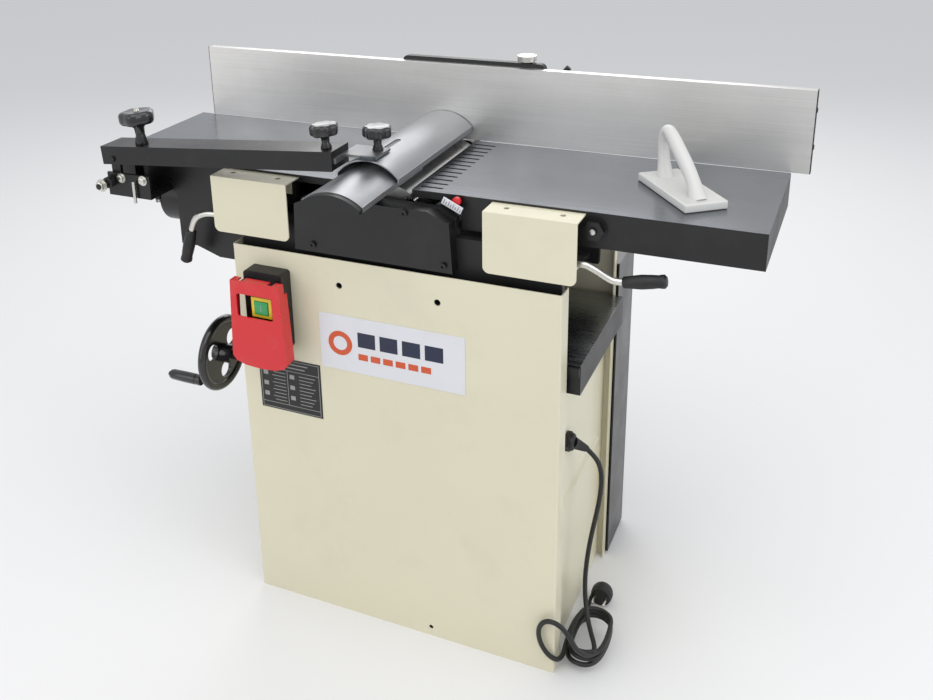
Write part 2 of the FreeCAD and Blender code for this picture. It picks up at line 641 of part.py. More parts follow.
def lock_cover(x_mid):
    half, y0, top = 70.1, TABLE_FRONT - 42.4, TABLE_Z - 4
    front = box(x_mid - half, x_mid + half, y0, y0 + SHEET, top - 95.3, top)
    front = rounded(front, Y, 10.0, lambda c: c.z < top - 50)
    roof = box(x_mid - half, x_mid + half, y0, TABLE_FRONT, top - SHEET, top)
    back = box(x_mid - half + 14, x_mid + half - 14, TABLE_FRONT - SHEET, TABLE_FRONT, top - 30, top)
    holes = [rod((x_mid + dx, -140, top - 5), (x_mid + dx, -140, top + 1), 4.5) for dx in (-42, 42)]
    return cut(fuse(front, roof, back), *holes)


def depth_knob():
    x, z = DEPTH_KNOB
    hexagon = [(x + 16 * math.cos(math.radians(60 * k)), z + 16 * math.sin(math.radians(60 * k)))
               for k in range(6)]
    head = prism_xz(hexagon, -134.5, -125.2)
    spindle = rod((x, -130, z), (x, -106, z), 5)
    bolt = rod((x, -137, z), (x, -134, z), 6)
    return fuse(head, spindle, bolt)


def bent_rod(points, radius):
    """Straight bars between points with a ball at each bend."""
    parts = []
    for a, b in zip(points, points[1:]):
        parts.append(rod(a, b, radius))
    parts += [Part.makeSphere(radius, vec(*p)) for p in points[1:-1]]
    return fuse(*parts)


def lock_lever(side, points, grip_end):
    """Bent round bar on a short shaft; points run from the shaft to the grip, in XZ."""
    x, y, z = side * LEVER_X, -148.0, LEVER_Z
    boss = rod((x, -154, z), (x, WALL_FRONT[0] - 0.5, z), 12)
    pin = rod((x, -140, z), (x, WALL_FRONT[1] - 1, z), 6)
    bar = bent_rod([(x, y, z)] + [(px, y, pz) for px, pz in points], 5.5)
    start = points[-1]
    grip = rod((start[0], y, start[1]), (grip_end[0], y, grip_end[1]), 10.5)
    return fuse(boss, pin, bar, grip)


def left_lock_lever():
    return lock_lever(-1, [(-326, 722), (-357, 710), (-368, 688)], (-386, 632))


def right_lock_lever():
    return lock_lever(1, [(300, 732), (345, 714), (361, 711)], (421, 722))


# ---- fence ---------------------------------------------------------------------
def fence_rail():
    """Guide on the back of the outfeed table; the fence's slide bar runs through its jaw."""
    arm = box(-122, -42, TABLE_BACK, JAW_Y[1], 784, 799.5)
    jaw = box(-122, -42, JAW_Y[0], JAW_Y[1], 784, 822)
    slot = box(BAR_X[0] - 0.3, BAR_X[1] + 0.3, JAW_Y[0] - 1, JAW_Y[1] + 1, 800.2, 810.8)
    stud = rod((-82, 218, 810.8), (-82, 218, 832), 5)
    return fuse(cut(fuse(arm, jaw), slot), stud)


def fence_slide():
    """Slide bar, crossbar with two hinge ears, and the post that the tilt clamp sits on."""
    bar = box(BAR_X[0], BAR_X[1], 176, 300, FENCE_Z0, 810.4)
    x0, x1 = FENCE_PLATE_X
    y, z = FENCE_PIVOT
    crossbar = box(x0, 160, 176, 192, FENCE_Z0, 809)
    pieces = [crossbar]
    for x in FENCE_EARS:
        pieces.append(prism_yz([(164, FENCE_Z0), (178, FENCE_Z0), (178, 809), (y + 5, z + 6),
                                (y - 4, z + 6), (163, z + 2)], x, x + 10))
        pieces.append(rod((x - 9, y, z), (x + 19, y, z), FENCE_PIN_R))
    sy, sz = STUD
    pieces.append(prism_yz([(176, FENCE_Z0), (192, FENCE_Z0), (sy + 9, sz - 4), (sy + 4, sz + 8),
                            (sy - 8, sz + 5)], QUADRANT_X + 5.5, QUADRANT_X + 12))
    pieces.append(rod((QUADRANT_X - 3, sy, sz), (QUADRANT_X + 12, sy, sz), 3.6))
    return fuse(bar, *pieces)


def fence_bracket():
    x0, x1 = FENCE_PLATE_X
    back = FENCE_Y + FENCE_T
    y, z = FENCE_PIVOT
    plate = rounded(box(x0, x1, back, back + 13, 822, 938), Y, 10.0, lambda c: c.z > 900)
    pieces = []
    for x in FENCE_EARS:
        for dx in (-8.4, 10.4):
            pieces.append(rod((x + dx, y, z), (x + dx + 8, y, z), 6.6))
            pieces.append(prism_yz([(back, z - 2), (y + 4, z), (back + 13, 824), (back, 824)],
                                   x + dx, x + dx + 8))
    ring = [rod((QUADRANT_X, y, z), (QUADRANT_X + 5, y, z), 84).cut(
        rod((QUADRANT_X - 1, y, z), (QUADRANT_X + 6, y, z), 62))]
    fan = prism_yz([(y + r * math.cos(math.radians(a)), z + r * math.sin(math.radians(a)))
                    for r, a in ((10, 90), (130, 90), (160, 55), (130, 20), (10, 20))],
                   QUADRANT_X - 1, QUADRANT_X + 6)
    arc = ring[0].common(fan)
    slot = rod((QUADRANT_X - 2, y, z), (QUADRANT_X + 7, y, z), 77).cut(
        rod((QUADRANT_X - 2, y, z), (QUADRANT_X + 7, y, z), 69))
    gap = prism_yz([(y + r * math.cos(math.radians(a)), z + r * math.sin(math.radians(a)))
                    for r, a in ((10, 82), (130, 82), (160, 55), (130, 25), (10, 25))],
                   QUADRANT_X - 2, QUADRANT_X + 7)
    arc = arc.cut(slot.common(gap))
    ty, tz = TILT_STUD
    pieces.append(box(x1 - 16, x1, back + 12, ty + 8, tz - 10, tz + 10))
    pieces.append(rod((x1 - 2, ty, tz), (x1 + 10, ty, tz), 3.6))
    knob = fuse(rod((113, back + 9, 936), (113, back + 9, 941), 9),
                rod((113, back + 9, 941), (113, back + 9, 950), 16))
    bores = [rod((x - 20, y, z), (x + 30, y, z), FENCE_PIN_R + CLEAR) for x in FENCE_EARS]
    return cut(fuse(plate, knob, arc, *pieces), *bores)


def tilt_lever():
    x0 = FENCE_PLATE_X[1] + 0.4
    y, z = TILT_STUD
    hub = rod((x0, y, z), (x0 + 13, y, z), 9)
    bar = rod((x0 + 8, y, z), (180, y + 4, 930), 5)
    return cut(fuse(hub, bar), rod((x0 - 1, y, z), (x0 + 10, y, z), 3.6 + CLEAR))


def fence_lock_lever():
    hub = rod((-82, 218, 822.4), (-82, 218, 836), 11)
    bar = rod((-82, 218, 830), (-20, 262, 846), 5)
    ball = Part.makeSphere(9, vec(-20, 262, 846))
    return cut(fuse(hub, bar, ball), rod((-82, 218, 820), (-82, 218, 832.4), 5 + CLEAR))


def fence_end_caps():
    caps = [box(FENCE_X0 - 3, FENCE_X0, FENCE_Y, FENCE_Y + FENCE_T, FENCE_Z0, FENCE_Z1),
            box(FENCE_X1, FENCE_X1 + 3, FENCE_Y, FENCE_Y + FENCE_T, FENCE_Z0, FENCE_Z1)]
    return Part.makeCompound(caps)


def fence_plate():
    y0, y1 = FENCE_Y, FENCE_Y + FENCE_T
    plate = box(FENCE_X0, FENCE_X1, y0, y1, FENCE_Z0, FENCE_Z1)
    grooves = [box(FENCE_X0 - 1, FENCE_X1 + 1, y1 - 5, y1 + 1, z, z + 9) for z in (832, 864, 896)]
    return cut(plate, *grooves)


# ---- bridge guard --------------------------------------------------------------
def arm_bracket():
    """Channel on the outfeed table's front edge, with two ears that the guard arm tilts on."""
    x, z = ARM_PIVOT
    y0, y1 = ARM_Y[0], TABLE_FRONT
    floor = box(-505, -419, y0, y1, 745, 751)
    front = box(-505, -419, y0, y0 + 5, 745, 785)
    back = box(-505, -419, y1 - 5, y1, 745, 790)
    pieces = [front, back]
    for y in (y0 + 6, ARM_Y[1] - 12):
        pieces.append(box(x - 9, x + 9, y, y + 6, 745, z))
        pieces.append(rod((x, y, z), (x, y + 6, z), 12))
    pieces.append(rod((x, y0 - 3, z), (x, y1 - 1.6, z), ARM_PIN_R))
    pieces.append(rod((-497, y0 + 1, 770), (-497, y0 - 34, 770), 5))
    pieces.append(rod((-430, -150, 736), (-430, -150, 752), 5))
    return fuse(floor, *pieces)


def guard_arm():
    y0, y1 = ARM_Y
    outer = box(ARM_X0, ARM_X0 + ARM_L, y0, y1, ARM_TOP - ARM_H, ARM_TOP)
    hollow = box(ARM_X0 + 2.5, ARM_X0 + ARM_L - 3, y0 + 2.5, y1 - 2.5, ARM_TOP - ARM_H - 1, ARM_TOP - 2.5)
    bar = arm_turn(cut(outer, hollow))
    x, z = ARM_PIVOT
    end = box(-73.5, -50, y0 - 1, y1 + 1, 800, 880)
    return cut(bar, rod((x, -190, z), (x, -120, z), ARM_PIN_R + CLEAR), end)


def guard_holder():
    """Strap on the arm's free end; its bolt and nut hold the guard plate by a long slot."""
    end = -73.5
    strap = box(end, -15, -150, -100, 849.5, 853.5)
    foot = box(end, end + 4, -176, -131, 845, 853.5)
    bolt = rod((GUARD_X, GUARD_BOLT_Y, 840), (GUARD_X, GUARD_BOLT_Y, 868), 4)
    nut = box(GUARD_X - 11, GUARD_X + 11, GUARD_BOLT_Y - 11, GUARD_BOLT_Y + 11, 839.5, 845.6)
    return fuse(strap, foot, bolt, nut)


def upper_guard():
    plate = arch(GUARD_X, GUARD_W, GUARD_EDGE_Z, GUARD_RISE, GUARD_Y[0], GUARD_Y[1], SKIN)
    start = GUARD_BOLT_Y - 6
    slot = box(GUARD_X - 4.8, GUARD_X + 4.8, start, start + 12 + GUARD_TRAVEL, 835, 855)
    return cut(plate, rounded(slot, Z, 4.7))


def lower_guard():
    plate = arch(GUARD_X, NOSE_W, NOSE_Z, NOSE_RISE, NOSE_Y[0], NOSE_Y[1], SKIN)
    runners = [box(GUARD_X + dx - 4, GUARD_X + dx + 4, -100, -64, 827.5, 837) for dx in (-30, 30)]
    radius = (NOSE_W ** 2 + NOSE_RISE ** 2) / (2 * NOSE_RISE)
    centre_z = NOSE_Z + NOSE_RISE - radius
    cap = rod((GUARD_X, NOSE_Y[0] - 10, centre_z), (GUARD_X, NOSE_Y[0], centre_z), radius - 1)
    cap = cap.common(box(GUARD_X - NOSE_W, GUARD_X + NOSE_W, NOSE_Y[0] - 12, NOSE_Y[0] + 1,
                         NOSE_Z - 7, NOSE_Z + NOSE_RISE))
    return fuse(plate, cap, *runners)


def arm_knob_left():
    return arm_turn(star_knob(-441, -161, ARM_TOP + 0.4, 30, 22, 5, 9, 34))


def arm_knob_right():
    return arm_turn(star_knob(-91, -161, ARM_TOP + 0.4, 22.5, 18, 7, 7, 20))


def guard_knob():
    knob = star_knob(GUARD_X, GUARD_BOLT_Y, 853.9, 23, 18, 7, 7, 20)
    return cut(knob, rod((GUARD_X, GUARD_BOLT_Y, 850), (GUARD_X, GUARD_BOLT_Y, 868.4), 4 + CLEAR))


# ---- electrics -----------------------------------------------------------------
def switch_box():
    body = rounded(box(-244, -173, FRONT_Y - 28, FRONT_Y, 514, 651), Y, 6.0)
    face = FRONT_Y - 28
    wells = [box(-217.4, -190.6, face - 1, face + 8, 583.6, 608.4),
             rod((-208, face - 1, 548), (-208, face + 8, 548), 13.4)]
    y, z = FLAP_HINGE
    lugs = []
    for x in (-240, -185):
        lugs.append(box(x, x + 8, y, face + 1, z - 5.5, z + 5.5))
        lugs.append(rod((x, y, z), (x + 8, y, z), 5.5))
    pin_bore = rod((-250, y, z), (-165, y, z), 2.5 + CLEAR)
    return cut(fuse(body, *lugs), pin_bore, *wells)


def start_button():
    face = FRONT_Y - 28
    return rounded(box(-217, -191, face - 3, face + 4, 584, 608), Y, 2.0)


def stop_button():
    face = FRONT_Y - 28
    return rod((-208, face - 4, 548), (-208, face + 4, 548), 13)


FLAP_HINGE = (FRONT_Y - 42.0, 633.0)


def switch_flap():
    """Tapered lid hinged along its top edge, open at the back, with a window."""
    yf, yb = FRONT_Y - 54.0, FRONT_Y - 31.0
    outline = [(-253, 643), (-163, 643), (-156.5, 508), (-163, 499), (-180, 493.5), (-208, 491.5),
               (-236, 493.5), (-253, 499), (-259.5, 508)]
    inner = [(-250.5, 640.5), (-165.5, 640.5), (-159.2, 509), (-165, 501.2), (-181, 496), (-208, 494),
             (-235, 496), (-251, 501.2), (-256.8, 509)]
    shell = prism_xz(outline, yf, yb).cut(prism_xz(inner, yf + 2.5, yb + 1))
    window = rounded(box(-243, -177, yf - 1, yf + 5, 581, 621), Y, 4.0)
    top_trim = box(-270, -150, FRONT_Y - 38.5, yb + 1, 625, 650)
    y, z = FLAP_HINGE
    notches = [box(x - 1, x + 9, y - 9, yb + 1, 625, 650) for x in (-240, -185)]
    shell = cut(shell, *notches)
    pin = rod((-251, y, z), (-165, y, z), 2.5)
    pusher = rod((-208, yf + 1, 548), (-208, yf + 13, 548), 9)
    return fuse(cut(shell, window, top_trim), pusher, pin)


GLAND = (-75.0, 388.0)


def cable_gland():
    y, z = GLAND
    body = rod((SIDE_X, y, z), (SIDE_X + 14, y, z), 17)
    thread = rod((SIDE_X - 10, y, z), (SIDE_X + 1, y, z), 10.8)
    start, end = vec(SIDE_X + 11, y, z), vec(*CORD_ROUTE[0])
    relief = Part.makeCone(10, 6, (end - start).Length, start, end - start)
    return fuse(body, thread, relief)


# the cord leaves the gland, falls beside the cabinet into the bundle, and a short
# tail runs along the floor from the bundle to the plug
CORD_ROUTE = [(292, -47.6, 363), (308, -48, 351), (317, -48.5, 331), (319, -49, 306),
              (317, -50, 276), (312.5, -51, 244), (307, -52, 210), (302.5, -53, 176),
              (299.5, -54, 142), (298.5, -54.5, 110), (300, -54.5, 80), (303, -54, 48)]
TAIL_ROUTE = [(296, -24, 6), (291, -8, 5), (289.5, 8, 5.6), (292, 22, 9)]


def cord_tube(route):
    """Straight runs joined by tangent arcs that are as large as the runs allow."""
    pts = [vec(*p) for p in route]
    edges, start, radii = [], pts[0], []
    for k in range(1, len(pts) - 1):
        a, b, c = pts[k - 1], pts[k], pts[k + 1]
        into, out = (b - a), (c - b)
        shorter = min(into.Length, out.Length)
        into.normalize()
        out.normalize()
        turn = math.acos(max(-1, min(1, into.dot(out))))
        cutback = 0.45 * shorter
        radii.append(cutback / math.tan(turn / 2))
        p0, p1 = b - into * cutback, b + out * cutback
        bisector = (out - into)
        bisector.normalize()
        centre = b + bisector * (cutback / math.sin(turn / 2)) * 1.0
        arm = b - centre
        arm.normalize()
        mid = centre + arm * radii[-1]
        centre = b + bisector * math.hypot(radii[-1], cutback)
        arm = b - centre
        arm.normalize()
        mid = centre + arm * radii[-1]
        edges.append(Part.LineSegment(start, p0).toShape())
        edges.append(Part.Arc(p0, mid, p1).toShape())
        start = p1
    edges.append(Part.LineSegment(start, pts[-1]).toShape())
    wire = Part.Wire(edges)
    direction = pts[1] - pts[0]
    ring = Part.Wire([Part.makeCircle(CORD_R, pts[0], direction)])
    pipe = wire.makePipeShell([ring], True, False)
    length = wire.Length
    print("cord radii", [round(r) for r in radii], "length %.1f" % length,
          "volume ratio %.4f" % (pipe.Volume / (length * math.pi * CORD_R ** 2)))
    return pipe


def cord_run():
    return Part.makeCompound([cord_tube(CORD_ROUTE), cord_tube(TAIL_ROUTE)])


def cord_coil():
    """The outer shape of the loosely bundled turns beside the cabinet's front corner."""
    heap = rounded(box(283, 346, -150, -24, 0.2, 48), Z, 20.0)
    lean = box(283, 306, -180, -120, 0.2, 118)
    front = box(258, 306, -180, FRONT_Y - 1.5, 66, 118)
    return fuse(heap, lean, front)


def power_plug():
    body = rod((308, 24, 19.2), (308, 46, 19.2), 19)
    face = rod((308, 20, 19.2), (308, 25, 19.2), 17.5)
    start, end = vec(300, 44, 16), vec(*TAIL_ROUTE[-1])
    relief = Part.makeCone(7.5, 5.5, (end - start).Length, start, end - start)
    pins = [rod((308 + dx, 1, 19.2), (308 + dx, 21, 19.2), 2.4) for dx in (-9.5, 9.5)]
    return fuse(body, face, relief, *pins)


# ---- push block ----------------------------------------------------------------
PUSH_CENTRE = (409.0, -7.0)
PUSH_TURN = -52.0


def push_block():
    """Shoe with a closed slanted handle, lying on the infeed table."""
    z = TABLE_Z + 0.3
    shoe = box(-76, 76, -33, 33, z, z + 11)
    shoe = rounded(shoe, Z, 4.0)
    path = [(-46, 0, z + 9), (-58, 0, z + 50), (-56, 0, z + 84), (-46, 0, z + 90),
            (-30, 0, z + 82), (20, 0, z + 42), (50, 0, z + 9)]
    loop = bent_rod(path, 8.5)
    block = fuse(shoe, loop)
    block.rotate(vec(0, 0, 0), Z, PUSH_TURN)
    block.translate(vec(PUSH_CENTRE[0], PUSH_CENTRE[1], 0))
    return block


NODES = {
    "cabinet_body": cabinet_body, "front_panel": front_panel,
    "frame_front_wall": frame_front_wall, "frame_rear_wall": frame_rear_wall,
    "frame_ties": frame_ties, "cutter_bearings": cutter_bearings,
    "column_sleeve": column_sleeve, "lift_bracket": lift_bracket, "front_cover": front_cover,
    "cover_screws": cover_screws, "rear_drive_cover": rear_drive_cover, "dust_hood": dust_hood,
    "motor": motor, "motor_pulley": motor_pulley, "cutter_pulley": cutter_pulley,
    "drive_belt": drive_belt, "feed_chain": feed_chain, "cutter_block": cutter_block,
    "cutter_knives": cutter_knives, "infeed_roller": lambda: roller(-ROLLER_X, True),
    "outfeed_roller": lambda: roller(ROLLER_X, False), "feed_gear": feed_gear,
    "kickback_fingers": kickback_fingers, "thickness_table": thickness_table,
    "lift_screw": lift_screw, "lift_nut_gear": lift_nut_gear, "handwheel": handwheel,
    "handwheel_grip": handwheel_grip, "outfeed_table": outfeed_table,
    "infeed_carrier": infeed_carrier, "infeed_table": infeed_table,
    "left_lock_cover": lambda: lock_cover(-237.9), "right_lock_cover": lambda: lock_cover(229.4),
    "depth_knob": depth_knob, "left_lock_lever": left_lock_lever,
    "right_lock_lever": right_lock_lever, "fence_rail": fence_rail, "fence_slide": fence_slide,
    "fence_bracket": fence_bracket, "tilt_lever": tilt_lever, "fence_plate": fence_plate,
    "fence_end_caps": fence_end_caps, "fence_lock_lever": fence_lock_lever,
    "arm_bracket": arm_bracket, "guard_arm": guard_arm, "guard_holder": guard_holder,
    "upper_guard": upper_guard, "lower_guard": lower_guard, "arm_knob_left": arm_knob_left,
    "arm_knob_right": arm_knob_right, "guard_knob": guard_knob, "switch_box": switch_box,
    "start_button": start_button, "stop_button": stop_button, "switch_flap": switch_flap,
    "cable_gland": cable_gland, "cord_run": cord_run, "cord_coil": cord_coil,
    "power_plug": power_plug, "push_block": push_block,
}

os.makedirs("parts", exist_ok=True)
for node_name, build in NODES.items():
    save(node_name, build())
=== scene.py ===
import math

import bmesh
import bpy
from mathutils import Matrix, Vector


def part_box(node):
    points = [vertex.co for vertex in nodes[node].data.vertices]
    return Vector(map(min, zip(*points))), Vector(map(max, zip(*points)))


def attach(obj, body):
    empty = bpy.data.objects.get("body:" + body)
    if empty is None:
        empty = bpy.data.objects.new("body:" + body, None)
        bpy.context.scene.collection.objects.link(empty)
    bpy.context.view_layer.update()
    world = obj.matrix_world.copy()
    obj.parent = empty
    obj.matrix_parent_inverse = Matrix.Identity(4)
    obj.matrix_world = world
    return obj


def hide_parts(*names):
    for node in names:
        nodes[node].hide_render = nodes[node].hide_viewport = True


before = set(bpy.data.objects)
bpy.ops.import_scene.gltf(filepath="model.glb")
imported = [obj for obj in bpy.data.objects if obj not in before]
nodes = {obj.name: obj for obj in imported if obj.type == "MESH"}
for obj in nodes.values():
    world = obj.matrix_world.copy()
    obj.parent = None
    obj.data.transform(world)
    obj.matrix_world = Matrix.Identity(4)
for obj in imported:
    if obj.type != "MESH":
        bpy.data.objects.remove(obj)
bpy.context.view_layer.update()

MM = 0.001
bpy.ops.object.select_all(action="DESELECT")

# %% [markdown]
# The camera comes first, because every later look at the machine goes through it. It stands half a
# metre above the tables, off to the infeed side, looks down by about 20 degrees and leans very
# slightly. The lens shift moves the machine in the frame without turning the camera further.

# %% Camera
CAMERA_PLACE = Vector((0.66434, -1.47529, 1.32893))
CAMERA_TURN, CAMERA_DIP, CAMERA_LEAN = math.radians(25.289), math.radians(19.644), math.radians(-1.729)
LENS_MM, SENSOR_MM = 40.466, 36.0
SHIFT = (0.0613, -0.1695)

across = Vector((math.cos(CAMERA_TURN), math.sin(CAMERA_TURN), 0))
behind = Vector((math.sin(CAMERA_TURN) * math.cos(CAMERA_DIP),
                 -math.cos(CAMERA_TURN) * math.cos(CAMERA_DIP), math.sin(CAMERA_DIP)))
above = behind.cross(across)
lean_cos, lean_sin = math.cos(CAMERA_LEAN), math.sin(CAMERA_LEAN)
right = lean_cos * across + lean_sin * above
upward = lean_cos * above - lean_sin * across

bpy.ops.object.camera_add(location=CAMERA_PLACE)
camera = bpy.context.object
camera.name = "view_camera"
turned = Matrix((right, upward, behind)).transposed().to_4x4()
camera.matrix_world = Matrix.Translation(CAMERA_PLACE) @ turned
camera.data.lens = LENS_MM
camera.data.sensor_width = SENSOR_MM
camera.data.shift_x, camera.data.shift_y = SHIFT
bpy.context.scene.camera = camera
print("camera at", [round(v, 3) for v in CAMERA_PLACE], "with a lens of", LENS_MM, "mm")

# %% [markdown]
# A pale floor and four soft lamps: a big one above and in front for the tops, one at the left for
# the cabinet's face, one at the right for the infeed end, and one behind for the back and the
# fence's upper edge. An even pale sky fills the shadows.

# %% Floor, lamps and sky
bpy.ops.mesh.primitive_plane_add(size=14, location=(0, 0, 0))
floor = bpy.context.object
floor.name = "studio_floor"


def lamp(name, place, target, size, power):
    bpy.ops.object.light_add(type="AREA", location=place)
    light = bpy.context.object
    light.name = name
    light.data.size = size
    light.data.energy = power
    light.rotation_euler = (Vector(target) - Vector(place)).to_track_quat("-Z", "Y").to_euler()


lamp("lamp_top", (0.3, -1.0, 3.0), (0, 0, 0.6), 2.6, 30)
lamp("lamp_face", (-1.6, -2.6, 1.6), (0, 0, 0.4), 2.2, 15)
lamp("lamp_side", (2.6, -0.6, 1.7), (0, 0, 0.5), 1.8, 16)
lamp("lamp_back", (-0.8, 2.4, 2.2), (0, 0, 0.8), 2.0, 26)

sky = bpy.data.worlds.new("pale_sky")
sky.use_nodes = True
sky.node_tree.nodes["Background"].inputs["Color"].default_value = (0.96, 0.97, 1.0, 1)
sky.node_tree.nodes["Background"].inputs["Strength"].default_value = 0.74
bpy.context.scene.world = sky
bpy.context.scene.view_settings.view_transform = "Standard"

# %% [markdown]
# Finishes share two effects, each built once as a node group. *Paint skin* gives the orange peel of
# sprayed or powdered paint, its slow change of tone, and faint smears and dust. *Grind lines* gives
# the fine lines that a grinder or a brush leaves along one direction, and faint stains.

# %% Node group helpers


def new_group(name, inputs, outputs):
    group = bpy.data.node_groups.new(name, "ShaderNodeTree")
    for label, kind, value in inputs:
        socket = group.interface.new_socket(name=label, in_out="INPUT", socket_type=kind)
        socket.default_value = value
    for label, kind in outputs:
        group.interface.new_socket(name=label, in_out="OUTPUT", socket_type=kind)
    start = group.nodes.new("NodeGroupInput")
    end = group.nodes.new("NodeGroupOutput")
    return group, start, end


def noise(tree, vector, scale, detail=4.0, rough=0.55):
    node = tree.nodes.new("ShaderNodeTexNoise")
    node.inputs["Detail"].default_value = detail
    node.inputs["Roughness"].default_value = rough
    if isinstance(scale, (int, float)):
        node.inputs["Scale"].default_value = scale
    else:
        tree.links.new(scale, node.inputs["Scale"])
    tree.links.new(vector, node.inputs["Vector"])
    return node.outputs["Fac"]


def spread(tree, value, low, high, new_low, new_high):
    node = tree.nodes.new("ShaderNodeMapRange")
    for label, number in (("From Min", low), ("From Max", high), ("To Min", new_low), ("To Max", new_high)):
        if isinstance(number, (int, float)):
            node.inputs[label].default_value = number
        else:
            tree.links.new(number, node.inputs[label])
    tree.links.new(value, node.inputs["Value"])
    return node.outputs["Result"]


def math_node(tree, kind, first, second):
    node = tree.nodes.new("ShaderNodeMath")
    node.operation = kind
    for k, term in enumerate((first, second)):
        if isinstance(term, (int, float)):
            node.inputs[k].default_value = term
        else:
            tree.links.new(term, node.inputs[k])
    return node.outputs["Value"]


# A Mix node's colour sockets share their names with its number sockets, so they go by place.
MIX_FACTOR, MIX_FIRST, MIX_SECOND, MIX_RESULT = 0, 6, 7, 2


def blend_colours(tree, factor, first, second):
    node = tree.nodes.new("ShaderNodeMix")
    node.data_type = "RGBA"
    node.blend_type = "MIX"
    for place, term in ((MIX_FACTOR, factor), (MIX_FIRST, first), (MIX_SECOND, second)):
        socket = node.inputs[place]
        if isinstance(term, bpy.types.NodeSocket):
            tree.links.new(term, socket)
        else:
            socket.default_value = term
    return node.outputs[MIX_RESULT]


# %% Paint skin group
LIGHT_DUST, DARK_DUST = 0.16, 0.03
DUST_COLOUR = (0.42, 0.40, 0.36, 1)


def paint_skin_group():
    group, start, end = new_group(
        "paint_skin",
        [("Vector", "NodeSocketVector", (0, 0, 0)), ("Colour", "NodeSocketColor", (1, 1, 1, 1)),
         ("Peel Scale", "NodeSocketFloat", 420.0), ("Roughness", "NodeSocketFloat", 0.4),
         ("Dust", "NodeSocketFloat", LIGHT_DUST)],
        [("Colour", "NodeSocketColor"), ("Roughness", "NodeSocketFloat"), ("Height", "NodeSocketFloat")])
    place, colour = start.outputs["Vector"], start.outputs["Colour"]
    peel = noise(group, place, start.outputs["Peel Scale"], 2.0, 0.4)
    cloud = noise(group, place, 3.1, 3.0, 0.5)
    smear = noise(group, place, 11.0, 6.0, 0.65)
    tone = spread(group, cloud, 0.3, 0.7, 0.965, 1.02)
    shade = group.nodes.new("ShaderNodeVectorMath")
    shade.operation = "SCALE"
    group.links.new(colour, shade.inputs[0])
    group.links.new(tone, shade.inputs["Scale"])
    dusty = spread(group, smear, 0.52, 0.85, 0.0, start.outputs["Dust"])
    mixed = blend_colours(group, dusty, shade.outputs["Vector"], DUST_COLOUR)
    rough = math_node(group, "ADD", start.outputs["Roughness"], spread(group, smear, 0.3, 0.8, -0.05, 0.11))
    group.links.new(mixed, end.inputs["Colour"])
    group.links.new(rough, end.inputs["Roughness"])
    group.links.new(peel, end.inputs["Height"])
    return group


PAINT_SKIN = paint_skin_group()
print("node group", PAINT_SKIN.name)

# %% Grind lines group


def grind_lines_group():
    group, start, end = new_group(
        "grind_lines",
        [("Vector", "NodeSocketVector", (0, 0, 0)), ("Colour", "NodeSocketColor", (0.6, 0.6, 0.6, 1)),
         ("Stretch", "NodeSocketVector", (8, 900, 900)), ("Contrast", "NodeSocketFloat", 0.15),
         ("Roughness", "NodeSocketFloat", 0.3)],
        [("Colour", "NodeSocketColor"), ("Roughness", "NodeSocketFloat"), ("Height", "NodeSocketFloat")])
    stretch = group.nodes.new("ShaderNodeVectorMath")
    stretch.operation = "MULTIPLY"
    group.links.new(start.outputs["Vector"], stretch.inputs[0])
    group.links.new(start.outputs["Stretch"], stretch.inputs[1])
    fine = noise(group, stretch.outputs["Vector"], 1.0, 5.0, 0.6)
    stain = noise(group, start.outputs["Vector"], 6.0, 5.0, 0.6)
    low = math_node(group, "SUBTRACT", 1.0, start.outputs["Contrast"])
    high = math_node(group, "ADD", 1.0, start.outputs["Contrast"])
    line_tone = spread(group, fine, 0.3, 0.7, low, high)
    tone = math_node(group, "MULTIPLY", line_tone, spread(group, stain, 0.35, 0.75, 1.03, 0.9))
    shade = group.nodes.new("ShaderNodeVectorMath")
    shade.operation = "SCALE"
    group.links.new(start.outputs["Colour"], shade.inputs[0])
    group.links.new(tone, shade.inputs["Scale"])
    rough = math_node(group, "ADD", start.outputs["Roughness"],
                      math_node(group, "ADD", spread(group, fine, 0.3, 0.7, -0.05, 0.06),
                                spread(group, stain, 0.35, 0.75, -0.03, 0.08)))
    group.links.new(shade.outputs["Vector"], end.inputs["Colour"])
    group.links.new(rough, end.inputs["Roughness"])
    group.links.new(fine, end.inputs["Height"])
    return group


GRIND_LINES = grind_lines_group()
print("node group", GRIND_LINES.name)

# %% [markdown]
# Each finish is a Principled shader whose colour, roughness and fine relief come from one of the
# groups. Metals read the direction in which they were ground; paints and mouldings read the peel.

# %% Finish makers


def blank_finish(name):
    material = bpy.data.materials.new(name)
    material.use_nodes = True
    tree = material.node_tree
    shader = tree.nodes["Principled BSDF"]
    place = tree.nodes.new("ShaderNodeTexCoord").outputs["Object"]
    return material, tree, shader, place


def relief(tree, shader, height, distance):
    bump = tree.nodes.new("ShaderNodeBump")
    bump.inputs["Strength"].default_value = 1.0
    bump.inputs["Distance"].default_value = distance
    tree.links.new(height, bump.inputs["Height"])
    tree.links.new(bump.outputs["Normal"], shader.inputs["Normal"])


DARK_BELOW = 0.3    # a colour whose three parts add up to less than this shows less dust


def skin(tree, place, colour, rough, peel=420.0):
    node = tree.nodes.new("ShaderNodeGroup")
    node.node_tree = PAINT_SKIN
    node.inputs["Colour"].default_value = (*colour, 1)
    node.inputs["Peel Scale"].default_value = peel
    node.inputs["Roughness"].default_value = rough
    node.inputs["Dust"].default_value = LIGHT_DUST if sum(colour) > DARK_BELOW else DARK_DUST
    tree.links.new(place, node.inputs["Vector"])
    return node


